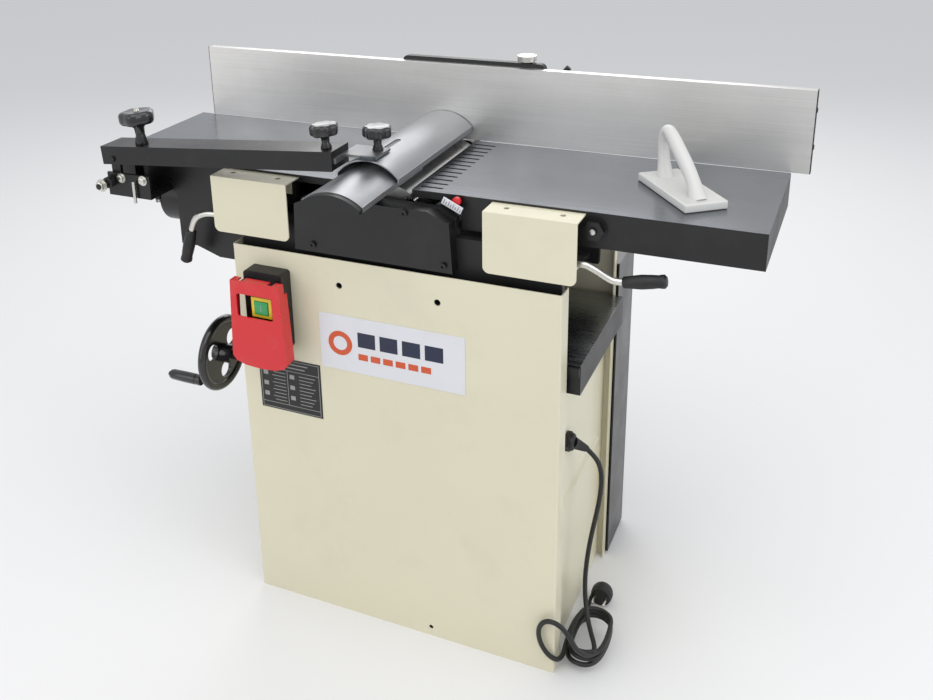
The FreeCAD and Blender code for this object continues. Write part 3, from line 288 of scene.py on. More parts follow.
def lines(tree, place, colour, stretch, contrast, rough):
    node = tree.nodes.new("ShaderNodeGroup")
    node.node_tree = GRIND_LINES
    node.inputs["Colour"].default_value = (*colour, 1)
    node.inputs["Stretch"].default_value = stretch
    node.inputs["Contrast"].default_value = contrast
    node.inputs["Roughness"].default_value = rough
    tree.links.new(place, node.inputs["Vector"])
    return node


def paint(name, colour, rough=0.38, peel=420.0, depth=0.00006, coat=0.0):
    material, tree, shader, place = blank_finish(name)
    node = skin(tree, place, colour, rough, peel)
    tree.links.new(node.outputs["Colour"], shader.inputs["Base Color"])
    tree.links.new(node.outputs["Roughness"], shader.inputs["Roughness"])
    shader.inputs["Coat Weight"].default_value = coat
    relief(tree, shader, node.outputs["Height"], depth)
    return material


def metal(name, colour, stretch, contrast=0.12, rough=0.3, depth=0.00003):
    material, tree, shader, place = blank_finish(name)
    node = lines(tree, place, colour, stretch, contrast, rough)
    tree.links.new(node.outputs["Colour"], shader.inputs["Base Color"])
    tree.links.new(node.outputs["Roughness"], shader.inputs["Roughness"])
    shader.inputs["Metallic"].default_value = 1.0
    relief(tree, shader, node.outputs["Height"], depth)
    return material


PAINT_ENDS, METAL_STARTS = 0.0007, 0.0002    # distances before the limit of bare metal


def part_bare(name, axis, limit, bare_colour, black, stretch, bare_rough=0.26):
    """Bare metal past the limit along an axis, and black paint before it."""
    material, tree, shader, place = blank_finish(name)
    bare = lines(tree, place, bare_colour, stretch, 0.10, bare_rough)
    cover = skin(tree, place, black, 0.42, 260.0)
    parts = tree.nodes.new("ShaderNodeSeparateXYZ")
    tree.links.new(place, parts.inputs["Vector"])
    mask = spread(tree, parts.outputs[axis], limit - PAINT_ENDS, limit - METAL_STARTS, 0.0, 1.0)
    colour = blend_colours(tree, mask, cover.outputs["Colour"], bare.outputs["Colour"])
    rough = spread(tree, mask, 0.0, 1.0, cover.outputs["Roughness"], bare.outputs["Roughness"])
    tree.links.new(colour, shader.inputs["Base Color"])
    tree.links.new(rough, shader.inputs["Roughness"])
    tree.links.new(mask, shader.inputs["Metallic"])
    relief(tree, shader, bare.outputs["Height"], 0.00002)
    return material


# %% The machine's finishes
LOW_TABLE_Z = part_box("thickness_table")[1][2]
TABLE_Z, NOSE_Y, ZINC_KNOB_Z = 0.800, -0.2655, 0.9412
CREAM = paint("cream_powder_paint", (0.70, 0.665, 0.50), 0.38, 520.0, 0.00005, 0.15)
BLACK = paint("black_enamel", (0.006, 0.006, 0.0065), 0.3, 300.0, 0.00006)
BLACK_MATT = paint("black_casting_paint", (0.008, 0.008, 0.009), 0.5, 180.0, 0.00014)
HOOD = paint("black_sheet_paint", (0.007, 0.007, 0.0075), 0.33, 360.0, 0.00005)
PHENOLIC = paint("black_phenolic", (0.009, 0.009, 0.010), 0.2, 90.0, 0.00003, 0.5)
NYLON = paint("black_nylon", (0.008, 0.008, 0.0085), 0.45, 700.0, 0.00004)
RED = paint("red_moulding", (0.62, 0.006, 0.012), 0.3, 80.0, 0.00002, 0.35)
GREEN = paint("green_moulding", (0.02, 0.33, 0.09), 0.25, 80.0, 0.00002, 0.35)
YELLOW = paint("yellow_moulding", (0.85, 0.60, 0.03), 0.35, 90.0, 0.00002, 0.2)
WHITE = paint("white_moulding", (0.62, 0.62, 0.60), 0.36, 900.0, 0.00004)
MOTOR_PAINT = paint("grey_motor_enamel", (0.045, 0.055, 0.065), 0.4, 260.0, 0.00010)
GUARD = metal("grey_satin_guard", (0.43, 0.44, 0.45), (600, 8, 600), 0.05, 0.42)
PLATE_BLACK = paint("printed_black_plate", (0.008, 0.008, 0.008), 0.3, 600.0, 0.00001)
PLATE_WHITE = paint("printed_white_plate", (0.70, 0.71, 0.74), 0.34, 500.0, 0.00001, 0.2)
INK_ORANGE = paint("orange_print", (0.60, 0.085, 0.02), 0.35, 500.0, 0.00001)
INK_BLUE = paint("dark_print", (0.010, 0.015, 0.045), 0.35, 500.0, 0.00001)
INK_PALE = paint("pale_print", (0.30, 0.30, 0.29), 0.4, 500.0, 0.00001)
SHADOW_BLACK = (0.006, 0.006, 0.0065)
TABLE_IRON = part_bare("ground_planing_table", "Z", TABLE_Z, (0.25, 0.265, 0.29), SHADOW_BLACK,
                       (5, 700, 700), 0.2)
LOW_IRON = part_bare("ground_thicknesser_table", "Z", LOW_TABLE_Z, (0.36, 0.37, 0.38), SHADOW_BLACK,
                     (5, 700, 700))
NOSE_PLATE = part_bare("guard_plate_black_nose", "Y", NOSE_Y, (0.43, 0.44, 0.45), SHADOW_BLACK,
                       (600, 8, 600), 0.42)
BRACKET = part_bare("black_bracket_zinc_knob", "Z", ZINC_KNOB_Z, (0.66, 0.65, 0.61), SHADOW_BLACK,
                    (200, 200, 200), 0.26)
FENCE = metal("brushed_fence_aluminium", (0.74, 0.73, 0.71), (6, 900, 900), 0.06, 0.40)
STEEL = metal("turned_steel", (0.62, 0.62, 0.61), (300, 300, 300), 0.08, 0.28)
ZINC = metal("zinc_plated_rod", (0.70, 0.69, 0.64), (160, 160, 160), 0.07, 0.24)
CHAIN = metal("oiled_chain_steel", (0.16, 0.15, 0.14), (400, 400, 400), 0.25, 0.38)
STRAP = metal("dull_strap_steel", (0.30, 0.305, 0.31), (8, 600, 600), 0.06, 0.45)
KNIFE = metal("ground_knife_steel", (0.74, 0.75, 0.76), (700, 6, 700), 0.06, 0.2)
RUBBER = paint("black_rubber", (0.009, 0.009, 0.0095), 0.42, 800.0, 0.00005)
print("materials in the file", len(bpy.data.materials))

# %% [markdown]
# The CAD nodes whose shape is already right keep their mesh and only get a finish.

# %% Finishes of the CAD nodes
FINISHES = {
    CREAM: ("cabinet_body", "front_panel", "left_lock_cover", "right_lock_cover"),
    BLACK: ("tilt_lever", "front_cover", "rear_drive_cover", "guard_arm", "arm_bracket", "depth_knob",
            "cover_screws"),
    BRACKET: ("fence_bracket",),
    BLACK_MATT: ("frame_front_wall", "frame_rear_wall", "infeed_carrier", "fence_rail", "fence_slide",
                 "lift_bracket", "column_sleeve"),
    HOOD: ("dust_hood",),
    PHENOLIC: ("handwheel",),
    NYLON: ("switch_box", "stop_button"),
    MOTOR_PAINT: ("motor",),
    TABLE_IRON: ("outfeed_table", "infeed_table"),
    LOW_IRON: ("thickness_table",),
    FENCE: ("fence_plate",),
    GUARD: ("upper_guard",),
    NOSE_PLATE: ("lower_guard",),
    STEEL: ("cutter_bearings", "frame_ties", "cutter_block", "cutter_pulley", "motor_pulley",
            "infeed_roller", "outfeed_roller", "feed_gear", "kickback_fingers", "lift_screw",
            "lift_nut_gear"),
    STRAP: ("guard_holder",),
    ZINC: ("fence_lock_lever",),
    KNIFE: ("cutter_knives",),
    CHAIN: ("feed_chain",),
    RUBBER: ("drive_belt",),
    RED: ("switch_flap",),
}
for finish, names in FINISHES.items():
    for node_name in names:
        mesh = nodes[node_name].data
        mesh.materials.clear()
        mesh.materials.append(finish)
print("finished", sum(len(names) for names in FINISHES.values()), "nodes")

# %% [markdown]
# Pieces are started from a primitive or a spun outline, shaped in edit mode and finished with
# applied modifiers. These helpers hold the steps that every piece goes through.

# %% Modelling helpers


def only(piece):
    bpy.ops.object.select_all(action="DESELECT")
    piece.select_set(True)
    bpy.context.view_layer.objects.active = piece


def apply_modifiers(piece):
    only(piece)
    for modifier in list(piece.modifiers):
        bpy.ops.object.modifier_apply(modifier=modifier.name)


def settle(piece, name, body, finish, smooth=35):
    """Names a piece, puts its place into its mesh, and fastens it to its body."""
    piece.name = name
    only(piece)
    bpy.ops.object.transform_apply(location=True, rotation=True, scale=True)
    piece.data.materials.clear()
    piece.data.materials.append(finish)
    bpy.ops.object.shade_smooth_by_angle(angle=math.radians(smooth))
    bpy.ops.object.select_all(action="DESELECT")
    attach(piece, body)
    return piece


def soften(piece, width, segments=3, angle=30):
    bevel = piece.modifiers.new("soft_edges", "BEVEL")
    bevel.width = width
    bevel.segments = segments
    bevel.limit_method = "ANGLE"
    bevel.angle_limit = math.radians(angle)
    apply_modifiers(piece)
    return piece


def block(low, high, edge=0.001, segments=3):
    """A box between two corners, its edges rounded."""
    low, high = Vector(low), Vector(high)
    bpy.ops.mesh.primitive_cube_add(size=1, location=(low + high) / 2)
    piece = bpy.context.object
    piece.scale = high - low
    bpy.ops.object.transform_apply(location=True, rotation=True, scale=True)
    return soften(piece, edge, segments)


def select_faces(piece, test):
    """Goes into edit mode with the faces selected whose centre and normal pass the test."""
    only(piece)
    bpy.ops.object.mode_set(mode="EDIT")
    bpy.ops.mesh.select_mode(type="FACE")
    bpy.ops.mesh.select_all(action="DESELECT")
    shape = bmesh.from_edit_mesh(piece.data)
    for face in shape.faces:
        face.select_set(test(face.calc_center_median(), face.normal))
    bmesh.update_edit_mesh(piece.data)


def leave_edit():
    bpy.ops.object.mode_set(mode="OBJECT")


def spun(outline, place, direction, steps=40):
    """A turned piece: outline is (radius, height) pairs, spun about direction from place."""
    mesh = bpy.data.meshes.new("outline")
    points = [(r, 0, h) for r, h in outline]
    mesh.from_pydata(points, [(k, k + 1) for k in range(len(points) - 1)], [])
    piece = bpy.data.objects.new("turned", mesh)
    bpy.context.collection.objects.link(piece)
    only(piece)
    bpy.ops.object.mode_set(mode="EDIT")
    bpy.ops.mesh.select_all(action="SELECT")
    bpy.ops.mesh.spin(steps=steps, angle=2 * math.pi, center=(0, 0, 0), axis=(0, 0, 1))
    bpy.ops.mesh.select_all(action="SELECT")
    bpy.ops.mesh.remove_doubles(threshold=1e-6)
    bpy.ops.mesh.normals_make_consistent(inside=False)
    leave_edit()
    piece.location = place
    piece.rotation_euler = Vector(direction).to_track_quat("Z", "Y").to_euler()
    only(piece)
    bpy.ops.object.transform_apply(location=True, rotation=True, scale=True)
    return piece


def bar(points, radius, radii=None):
    """A round bar bent smoothly through the points."""
    curve = bpy.data.curves.new("bar", "CURVE")
    curve.dimensions = "3D"
    curve.bevel_depth = radius
    curve.bevel_resolution = 8
    curve.resolution_u = 12
    curve.use_fill_caps = True
    spline = curve.splines.new("NURBS")
    spline.points.add(len(points) - 1)
    for k, (point, place) in enumerate(zip(spline.points, points)):
        point.co = (*place, 1)
        if radii:
            point.radius = radii[k]
    spline.order_u = 3
    spline.use_endpoint_u = True
    piece = bpy.data.objects.new("bar", curve)
    bpy.context.collection.objects.link(piece)
    only(piece)
    bpy.ops.object.convert(target="MESH")
    piece = bpy.context.object
    bpy.ops.object.mode_set(mode="EDIT")
    bpy.ops.mesh.select_all(action="SELECT")
    bpy.ops.mesh.remove_doubles(threshold=1e-6)
    bpy.ops.mesh.normals_make_consistent(inside=False)
    leave_edit()
    return piece


def joined(pieces):
    """Joins several meshes into the first."""
    bpy.ops.object.select_all(action="DESELECT")
    for piece in pieces:
        piece.select_set(True)
    bpy.context.view_layer.objects.active = pieces[0]
    bpy.ops.object.join()
    return bpy.context.object


# %% [markdown]
# The mains lead is one length of rubber cable. It leaves the gland, hangs beside the cabinet, makes
# a few loose turns on the floor, of which one leans on the cabinet's corner, and ends in its plug.
# One NURBS spline carries it all, so that its bends run into each other with no corner.

# %% Mains lead
LEAD_DIAMETER = 0.008
hanging = [(292, -47.6, 363), (308, -48, 351), (317, -48.5, 331), (319, -49, 306),
           (317, -50, 276), (312.5, -51, 244), (307, -52, 210), (302.5, -53, 176),
           (299.5, -54, 142), (298.5, -55, 112), (301, -61, 86), (308, -74, 66), (317, -91, 53)]
tail = [(289, -24, 4.6), (290, -8, 4.4), (288.5, 8, 5.4), (291.5, 23, 9)]
HEAP_X, HEAP_Y, TURN_R, TURN_STRAIGHT = 318.0, -87.0, 30.5, 26.0
FIRST_ANGLE, LAST_ANGLE, ANGLE_STEP = 318.0, -972.0, 24.0
TOP_HEIGHT, LOWEST_HEIGHT, DROP_PER_TURN = 43.0, 4.4, 8.6
TURN_GROWS, TURN_SHIFTS = (-1.2, 1.0, -2.0, 0.6), (0.8, -1.0, 1.4, -0.4)
LEANING_TURN, LEAN_FROM, LEAN_TO, LEAN_RETURNS = 1, 282, 320, 200
leaning = [(339, -132, 37), (330, -154, 48), (317, -166, 66), (308, -171, 90), (291, -172.5, 112),
           (268, -172, 114), (254, -170.5, 94), (256, -170, 66), (270, -169, 42), (285, -163, 30),
           (289.5, -145, 27.5)]


def turn_point(angle, height, grow, shift_x, shift_y):
    """A point of a long oval turn; angle in degrees, 0 on the +X side."""
    a = math.radians(angle)
    side = max(-1.0, min(1.0, 2.0 * math.sin(a)))
    radius = TURN_R + grow
    return (HEAP_X + shift_x + radius * math.cos(a),
            HEAP_Y + shift_y + side * TURN_STRAIGHT + radius * math.sin(a), height)


def heap_points():
    """The loose turns from the top down; one of them leaves the heap to lean on the corner."""
    points = []
    angle, height = FIRST_ANGLE, TOP_HEIGHT
    while angle > LAST_ANGLE:
        turn = int((FIRST_ANGLE - angle) // 360)
        if turn == LEANING_TURN and LEAN_FROM < angle % 360 < LEAN_TO:
            points += leaning
            angle = 360 * math.floor(angle / 360) + LEAN_RETURNS
            continue
        shift = TURN_SHIFTS[turn]
        points.append(turn_point(angle, max(LOWEST_HEIGHT, height), TURN_GROWS[turn], shift, 1.5 * shift))
        height -= DROP_PER_TURN * ANGLE_STEP / 360
        angle -= ANGLE_STEP
    return points


route = [Vector(p) * MM for p in hanging + heap_points() + tail]
lead_curve = bpy.data.curves.new("mains_lead", "CURVE")
lead_curve.dimensions = "3D"
lead_curve.bevel_depth = LEAD_DIAMETER / 2
lead_curve.bevel_resolution = 6
lead_curve.resolution_u = 10
lead_curve.use_fill_caps = True
lead_line = lead_curve.splines.new("NURBS")
lead_line.points.add(len(route) - 1)
for point, place in zip(lead_line.points, route):
    point.co = (*place, 1)
lead_line.order_u = 3
lead_line.use_endpoint_u = True
lead = bpy.data.objects.new("mains_lead", lead_curve)
bpy.context.collection.objects.link(lead)
lead_curve.materials.append(RUBBER)
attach(lead, "root")
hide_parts("cord_run", "cord_coil")
print("lead points", len(route))

# %% [markdown]
# The plug is a round moulding that narrows towards its back. The cable enters at its side through a
# bent sleeve, and its two round pins stand out of a flat face towards the front.

# %% Plug
PLUG_FACE_Y, PIN_TIP_Y, PIN_OFFSET = 0.0196, 0.001, 0.0095
plug_axis = Vector((0.308, 0, 0.0192))
plug_body = spun([(0, 0), (0.0168, 0), (0.0172, 0.001), (0.0172, 0.005), (0.0186, 0.0065),
                  (0.0188, 0.016), (0.0172, 0.021), (0.0150, 0.0245), (0.0105, 0.0262), (0, 0.0265)],
                 (plug_axis.x, PLUG_FACE_Y, plug_axis.z), (0, 1, 0))
plug_sleeve = bar([(0.2915, 0.0215, 0.009), (0.2935, 0.030, 0.0115), (0.2985, 0.038, 0.0155),
                   (0.304, 0.0415, 0.0185)], 0.0055, radii=[0.93, 1.0, 1.25, 1.5])
plug = settle(joined([plug_body, plug_sleeve]), "plug_moulding", "root", NYLON)
pins = []
for side in (-1, 1):
    pins.append(spun([(0, 0), (0.0016, 0), (0.0024, 0.001), (0.0024, 0.0195), (0, 0.0195)],
                     (plug_axis.x + side * PIN_OFFSET, PIN_TIP_Y, plug_axis.z), (0, 1, 0), 20))
plug_pins = settle(joined(pins), "plug_pins", "root", ZINC)
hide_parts("power_plug")
print("plug", len(plug.data.polygons), "faces")

# %% [markdown]
# The clamp knobs are moulded phenolic heads with lobes for the fingers, on a waisted stem. The head
# starts as a cylinder with many sides, its rim is drawn in between the lobes, its top face is inset
# and sunk a little, and a bevel rounds the edges. The stem is a turned outline.

# %% Clamp knobs
ARM_CORNER = Vector((-0.513, 0, 0.8287))
ARM_SLOPE = math.radians(-4.7)
LEAN_WITH_ARM = (Matrix.Translation(ARM_CORNER) @ Matrix.Rotation(ARM_SLOPE, 4, "Y")
                 @ Matrix.Translation(-ARM_CORNER))
LOBE_DEPTH = 0.06


def clamp_knob(name, body, node, foot, radius, lobes, stem_r, stem, height, lean=None):
    bpy.ops.mesh.primitive_cylinder_add(vertices=lobes * 16, radius=radius, depth=height,
                                        location=(0, 0, stem + height / 2))
    head = bpy.context.object
    only(head)
    bpy.ops.object.transform_apply(location=True, rotation=True, scale=True)
    select_faces(head, lambda centre, normal: abs(normal.z) > 0.9)
    bpy.ops.mesh.inset(thickness=radius * 0.3)
    bpy.ops.mesh.select_all(action="DESELECT")
    leave_edit()
    select_faces(head, lambda centre, normal: normal.z > 0.9 and centre.xy.length < 1e-4)
    bpy.ops.mesh.inset(thickness=radius * 0.18)
    bpy.ops.transform.translate(value=(0, 0, -height * 0.04))
    leave_edit()
    for vertex in head.data.vertices:
        angle = math.atan2(vertex.co.y, vertex.co.x)
        share = vertex.co.xy.length / radius
        dip = LOBE_DEPTH * (1 - math.cos(lobes * angle)) * share ** 2
        vertex.co.x *= 1 - dip
        vertex.co.y *= 1 - dip
    soften(head, height * 0.36, 5, 40)
    shank = spun([(0, 0), (stem_r * 1.2, 0), (stem_r * 1.25, 0.0015), (stem_r * 0.86, stem * 0.45),
                  (stem_r * 0.95, stem * 0.8), (radius * 0.52, stem + 0.001), (0, stem + 0.003)],
                 (0, 0, 0), (0, 0, 1), 28)
    knob = joined([head, shank])
    knob.location = foot
    only(knob)
    bpy.ops.object.transform_apply(location=True, rotation=True, scale=True)
    if lean is not None:
        knob.data.transform(lean)
    settle(knob, name, body, PHENOLIC, 40)
    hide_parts(node)
    print(name, len(knob.data.polygons), "faces")


clamp_knob("arm_height_knob", "arm_knob", "arm_knob_left", (-0.441, -0.161, 0.8291), 0.030, 5,
           0.009, 0.034, 0.022, LEAN_WITH_ARM)
clamp_knob("arm_end_knob", "end_knob", "arm_knob_right", (-0.091, -0.161, 0.8291), 0.0225, 7,
           0.007, 0.020, 0.018, LEAN_WITH_ARM)
clamp_knob("guard_clamp_knob", "guard_clamp", "guard_knob", (-0.029, -0.115, 0.8539), 0.023, 7,
           0.007, 0.020, 0.018)

# %% [markdown]
# Small fasteners stand on the arm and its bracket: hexagon heads over thin washers, and screwed
# studs, one of which shows above the big knob. A six-sided cylinder with softened edges makes each
# head, and each stud and the arm's stop sleeve are turned.

# %% Screws and studs
FLATS_TO_RADIUS, WASHER_T = 1.732, 0.0011
FINEST_PITCH, MOST_TURNS = 0.0009, 14


def hexagon_head(place, direction, width, height):
    """A bolt head on its washer, standing on place and pointing along direction."""
    place, direction = Vector(place), Vector(direction).normalized()
    turn = direction.to_track_quat("Z", "Y").to_euler()
    bpy.ops.mesh.primitive_cylinder_add(vertices=6, radius=width / FLATS_TO_RADIUS, depth=height,
                                        location=place + direction * (height / 2 + WASHER_T), rotation=turn)
    head = soften(bpy.context.object, height * 0.12, 2, 20)
    rim = width * 0.78
    washer = spun([(0, 0), (rim, 0), (rim, WASHER_T), (0, WASHER_T)], place, direction, 24)
    return joined([head, washer])


def stud(place, direction, radius, length):
    """A screwed stud: its thread is a row of shallow grooves turned into the outline."""
    outline, core = [(0, 0)], radius * 0.9
    pitch = max(FINEST_PITCH, length / MOST_TURNS)
    for k in range(int(length / pitch)):
        outline += [(radius, k * pitch + pitch * 0.1), (core, (k + 0.6) * pitch)]
    outline += [(core, length - 0.0004), (radius * 0.6, length), (0, length)]
    return spun(outline, place, direction, 18)


arm_screws = joined([
    hexagon_head((-0.497, -0.2065, 0.770), (0, -1, 0), 0.014, 0.0065),
    hexagon_head((-0.476, -0.1812, 0.7775), (0, -1, 0), 0.011, 0.004),
    hexagon_head((-0.432, -0.1812, 0.7775), (0, -1, 0), 0.011, 0.004),
    stud((-0.448, -0.1865, 0.738), (0, 0, 1), 0.0028, 0.038),
    stud((-0.430, -0.150, 0.7305), (0, 0, 1), 0.0048, 0.021)])
settle(arm_screws, "arm_bracket_screws", "outfeed", ZINC)
arm_sleeve = spun([(0, 0), (0.0095, 0), (0.0095, 0.012), (0.0078, 0.0135), (0.0078, 0.0245), (0, 0.0245)],
                  (-0.497, -0.1815, 0.770), (0, -1, 0), 28)
settle(arm_sleeve, "arm_stop_sleeve", "outfeed", NYLON)
knob_stud = stud((-0.441, -0.161, 0.8805), (0, 0, 1), 0.0045, 0.0085)
knob_stud.data.transform(LEAN_WITH_ARM)
settle(knob_stud, "arm_knob_stud", "arm_knob", ZINC)
arm_end_screw = hexagon_head((-0.0868, -0.1812, 0.8115), (0, -1, 0), 0.010, 0.0036)
arm_end_screw.data.transform(LEAN_WITH_ARM)
settle(arm_end_screw, "arm_end_screw", "arm", ZINC)
print("arm bracket screws", len(arm_screws.data.polygons), "faces")

# %% [markdown]
# The two table locks are bent steel bars, zinc plated, with a moulded black grip pushed over the
# end. The bar follows a smooth curve through its bends and the grip is turned with a swell.

# %% Table lock levers
LOCK_X, LOCK_Y, LOCK_Z = 0.285, -0.148, 0.724
GRIP_OUTLINE = [(0, 0), (0.0072, 0), (0.0083, 0.0015), (0.0092, 0.012), (0.0104, 0.026), (0.0098, 0.042),
                (0.0091, 0.050), (0.0099, 0.055), (0.0098, 0.0585), (0.0070, 0.0612), (0, 0.062)]


def lock_lever(side, bends, tip, body, node):
    centre = Vector((side * LOCK_X, LOCK_Y, LOCK_Z))
    path = [centre] + [Vector((x * MM, LOCK_Y, z * MM)) for x, z in bends]
    rod = bar(path, 0.0053)
    boss = spun([(0, 0), (0.0102, 0), (0.0118, 0.0015), (0.0118, 0.020), (0.0105, 0.022), (0, 0.022)],
                centre + Vector((0, -0.0075, 0)), (0, 1, 0), 36)
    steel = settle(joined([rod, boss]), node + "_bar", body, ZINC)
    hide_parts(node)
    end = Vector((tip[0] * MM, LOCK_Y, tip[1] * MM))
    grip = spun(GRIP_OUTLINE, path[-1] - (end - path[-1]).normalized() * 0.002, end - path[-1], 32)
    settle(grip, node + "_grip", body, NYLON)
    print(node, len(steel.data.polygons) + len(grip.data.polygons), "faces")


lock_lever(-1, [(-312, 722.5), (-334, 722), (-357, 713), (-367, 692), (-369.5, 684)], (-386, 632),
           "left_lever", "left_lock_lever")
lock_lever(1, [(300, 732), (322, 724), (343, 712), (352, 710.5), (364, 711.5)], (421, 722),
           "right_lever", "right_lock_lever")

# %% [markdown]
# The push block is cast in one piece: a flat shoe with a low rim and a closed slanted handle whose
# feet flare into the shoe. The shoe's top is inset and sunk, and the handle is a bar whose
# thickness changes along its curve.

# %% Push block
PUSH_PLACE = Matrix.Translation((0.409, -0.007, 0)) @ Matrix.Rotation(math.radians(-52), 4, "Z")
shoe_z = 0.8003
shoe = block((-0.076, -0.033, shoe_z), (0.076, 0.033, shoe_z + 0.0125), 0.0022, 3)
select_faces(shoe, lambda centre, normal: normal.z > 0.95 and centre.z > shoe_z + 0.012)
bpy.ops.mesh.inset(thickness=0.003)
bpy.ops.transform.translate(value=(0, 0, -0.0012))
leave_edit()
handle_points = [(-0.051, 0, shoe_z + 0.006), (-0.056, 0, shoe_z + 0.024), (-0.062, 0, shoe_z + 0.046),
                 (-0.063, 0, shoe_z + 0.068), (-0.053, 0, shoe_z + 0.084), (-0.038, 0, shoe_z + 0.079),
                 (-0.014, 0, shoe_z + 0.063), (0.015, 0, shoe_z + 0.045), (0.038, 0, shoe_z + 0.026),
                 (0.051, 0, shoe_z + 0.006)]
handle = bar(handle_points, 0.0090, [1.5, 1.12, 0.95, 0.95, 1.0, 1.1, 1.18, 1.15, 1.1, 1.5])
push = joined([shoe, handle])
push.data.transform(PUSH_PLACE)
settle(push, "push_block_casting", "push", WHITE)
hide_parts("push_block")
print("push block", len(push.data.polygons), "faces")

# %% [markdown]
# The start button is sprung and stands in a raised yellow collar on a black foot, under the window
# of the red stop flap. Collar and foot are softened slabs with a hole through the middle: both ends
# are inset, the inner faces are deleted, and the two open edges are bridged into a wall.

# %% Start button and its collar
SWITCH_Y = -0.189
COLLAR_LOW, COLLAR_HIGH = Vector((-0.2230, 0, 0.5785)), Vector((-0.1850, 0, 0.6135))


def collar(y_front, y_back, grow, wall):
    """A square collar between two depths."""
    piece = block((COLLAR_LOW.x - grow, y_front, COLLAR_LOW.z - grow),
                  (COLLAR_HIGH.x + grow, y_back, COLLAR_HIGH.z + grow), 0.0009, 2)
    for side in (-1, 1):
        select_faces(piece, lambda centre, normal: normal.y * side > 0.95)
        bpy.ops.mesh.inset(thickness=wall)
        bpy.ops.mesh.delete(type="FACE")
        leave_edit()
    only(piece)
    bpy.ops.object.mode_set(mode="EDIT")
    bpy.ops.mesh.select_mode(type="EDGE")
    bpy.ops.mesh.select_all(action="DESELECT")
    bpy.ops.mesh.select_non_manifold(extend=False, use_wire=False, use_boundary=True,
                                     use_multi_face=False, use_non_contiguous=False, use_verts=False)
    bpy.ops.mesh.bridge_edge_loops()
    bpy.ops.mesh.select_all(action="SELECT")
    bpy.ops.mesh.normals_make_consistent(inside=False)
    leave_edit()
    return piece


settle(collar(-0.2040, -0.2000, 0.0, 0.0048), "start_collar", "root", YELLOW)
settle(collar(-0.1998, SWITCH_Y, -0.0012, 0.0036), "start_collar_foot", "root", NYLON)
button = block((-0.2168, -0.2062, 0.5842), (-0.1912, -0.1860, 0.6078), 0.0014, 4)
settle(button, "start_button_cap", "start", GREEN)
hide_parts("start_button")
start_mark = block((-0.2049, -0.2065, 0.5905), (-0.2031, -0.2060, 0.6015), 0.0001, 1)
settle(start_mark, "start_mark", "start", INK_PALE)
print("start button", len(button.data.polygons), "faces")

# %% [markdown]
# Two printed plates sit on the front panel. They carry only plain shapes: a ring, blocks and rules.
# Each plate is a thin slab with soft corners, and its print is a layer of flat tiles on it.

# %% Printed plates
PANEL_Y, WHITE_PLATE_T, BLACK_PLATE_T = -0.161, 0.0009, 0.0008


def tile(x0, x1, z0, z1, y0, thickness=0.0003, edge=0.00012):
    return block((x0 * MM, y0 - thickness, z0 * MM), (x1 * MM, y0, z1 * MM), edge, 1)


white_plate = tile(-124, 129, 487, 586, PANEL_Y, WHITE_PLATE_T, 0.0003)
settle(white_plate, "maker_plate", "root", PLATE_WHITE)
print_y = PANEL_Y - WHITE_PLATE_T
dark_blocks = [tile(-55 + 39 * k, -24 + 39 * k, 535, 561, print_y) for k in range(4)]
settle(joined(dark_blocks), "maker_plate_blocks", "root", INK_BLUE)
rules = [tile(-55 + 22 * k, -38 + 22 * k, 512, 523, print_y) for k in range(6)]
ring = spun([(0.0125, 0), (0.0215, 0), (0.0215, 0.0003), (0.0125, 0.0003), (0.0125, 0)],
            (-0.087, print_y, 0.536), (0, -1, 0), 48)
settle(joined(rules + [ring]), "maker_plate_accents", "root", INK_ORANGE)

black_plate = tile(-247, -128, 385, 486, PANEL_Y, BLACK_PLATE_T, 0.0003)
settle(black_plate, "data_plate", "root", PLATE_BLACK)
print_y = PANEL_Y - BLACK_PLATE_T
pale = [tile(-244, -131, 387.5, 388.5, print_y), tile(-244, -131, 482.5, 483.5, print_y),
        tile(-244, -243, 388.5, 482.5, print_y), tile(-132, -131, 388.5, 482.5, print_y),
        tile(-243, -132, 463, 464, print_y), tile(-243, -132, 397, 398, print_y),
        tile(-193, -192, 398, 463, print_y)]
for row in range(2):
    pale.append(tile(-222 + 8 * row, -152 - 6 * row, 476 - 7 * row, 478 - 7 * row, print_y))
for row in range(9):
    height = 456 - 6.6 * row
    pale.append(tile(-219 - 3 * (row % 2), -196, height, height + 1.3, print_y))
    pale.append(tile(-170, -139 - 4 * (row % 3), height, height + 1.3, print_y))
for row in range(3):
    pale.append(tile(-239, -230, 449 - 20 * row, 457 - 20 * row, print_y))
    pale.append(tile(-188, -179, 449 - 20 * row, 457 - 20 * row, print_y))
settle(joined(pale), "data_plate_rules", "root", INK_PALE)
print("data plate's pale marks", len(pale))

# %% [markdown]
# A white scale and a red pointer between the front cover and the right lock show the depth of cut.
# The scale is fixed and the pointer moves with the infeed table. The depth knob's bolt head is here too.

# %% Depth scale and pointer
scale_turn = Matrix.Translation((0.101, 0, 0.7875)) @ Matrix.Rotation(math.radians(25), 4, "Y")
scale = block((-0.017, -0.1372, -0.006), (0.017, -0.1362, 0.006), 0.0003, 2)
scale.data.transform(scale_turn)
settle(scale, "depth_scale", "root", PLATE_WHITE)
ticks = [block(((-14 + 4 * k) * MM, -0.1375, -0.004), ((-13.2 + 4 * k) * MM, -0.1371,
               0.001 if k % 2 else 0.004), 0.0001, 1) for k in range(8)]
scale_ticks = joined(ticks)
scale_ticks.data.transform(scale_turn)
settle(scale_ticks, "depth_scale_ticks", "root", INK_BLUE)
pointer = spun([(0, 0), (0.004, 0), (0.004, 0.004), (0.0068, 0.0045), (0.0070, 0.0095), (0.0055, 0.0108),
                (0, 0.011)], (0.106, -0.1235, 0.7925), (0, -1, 0), 32)
settle(pointer, "depth_pointer", "infeed", RED)
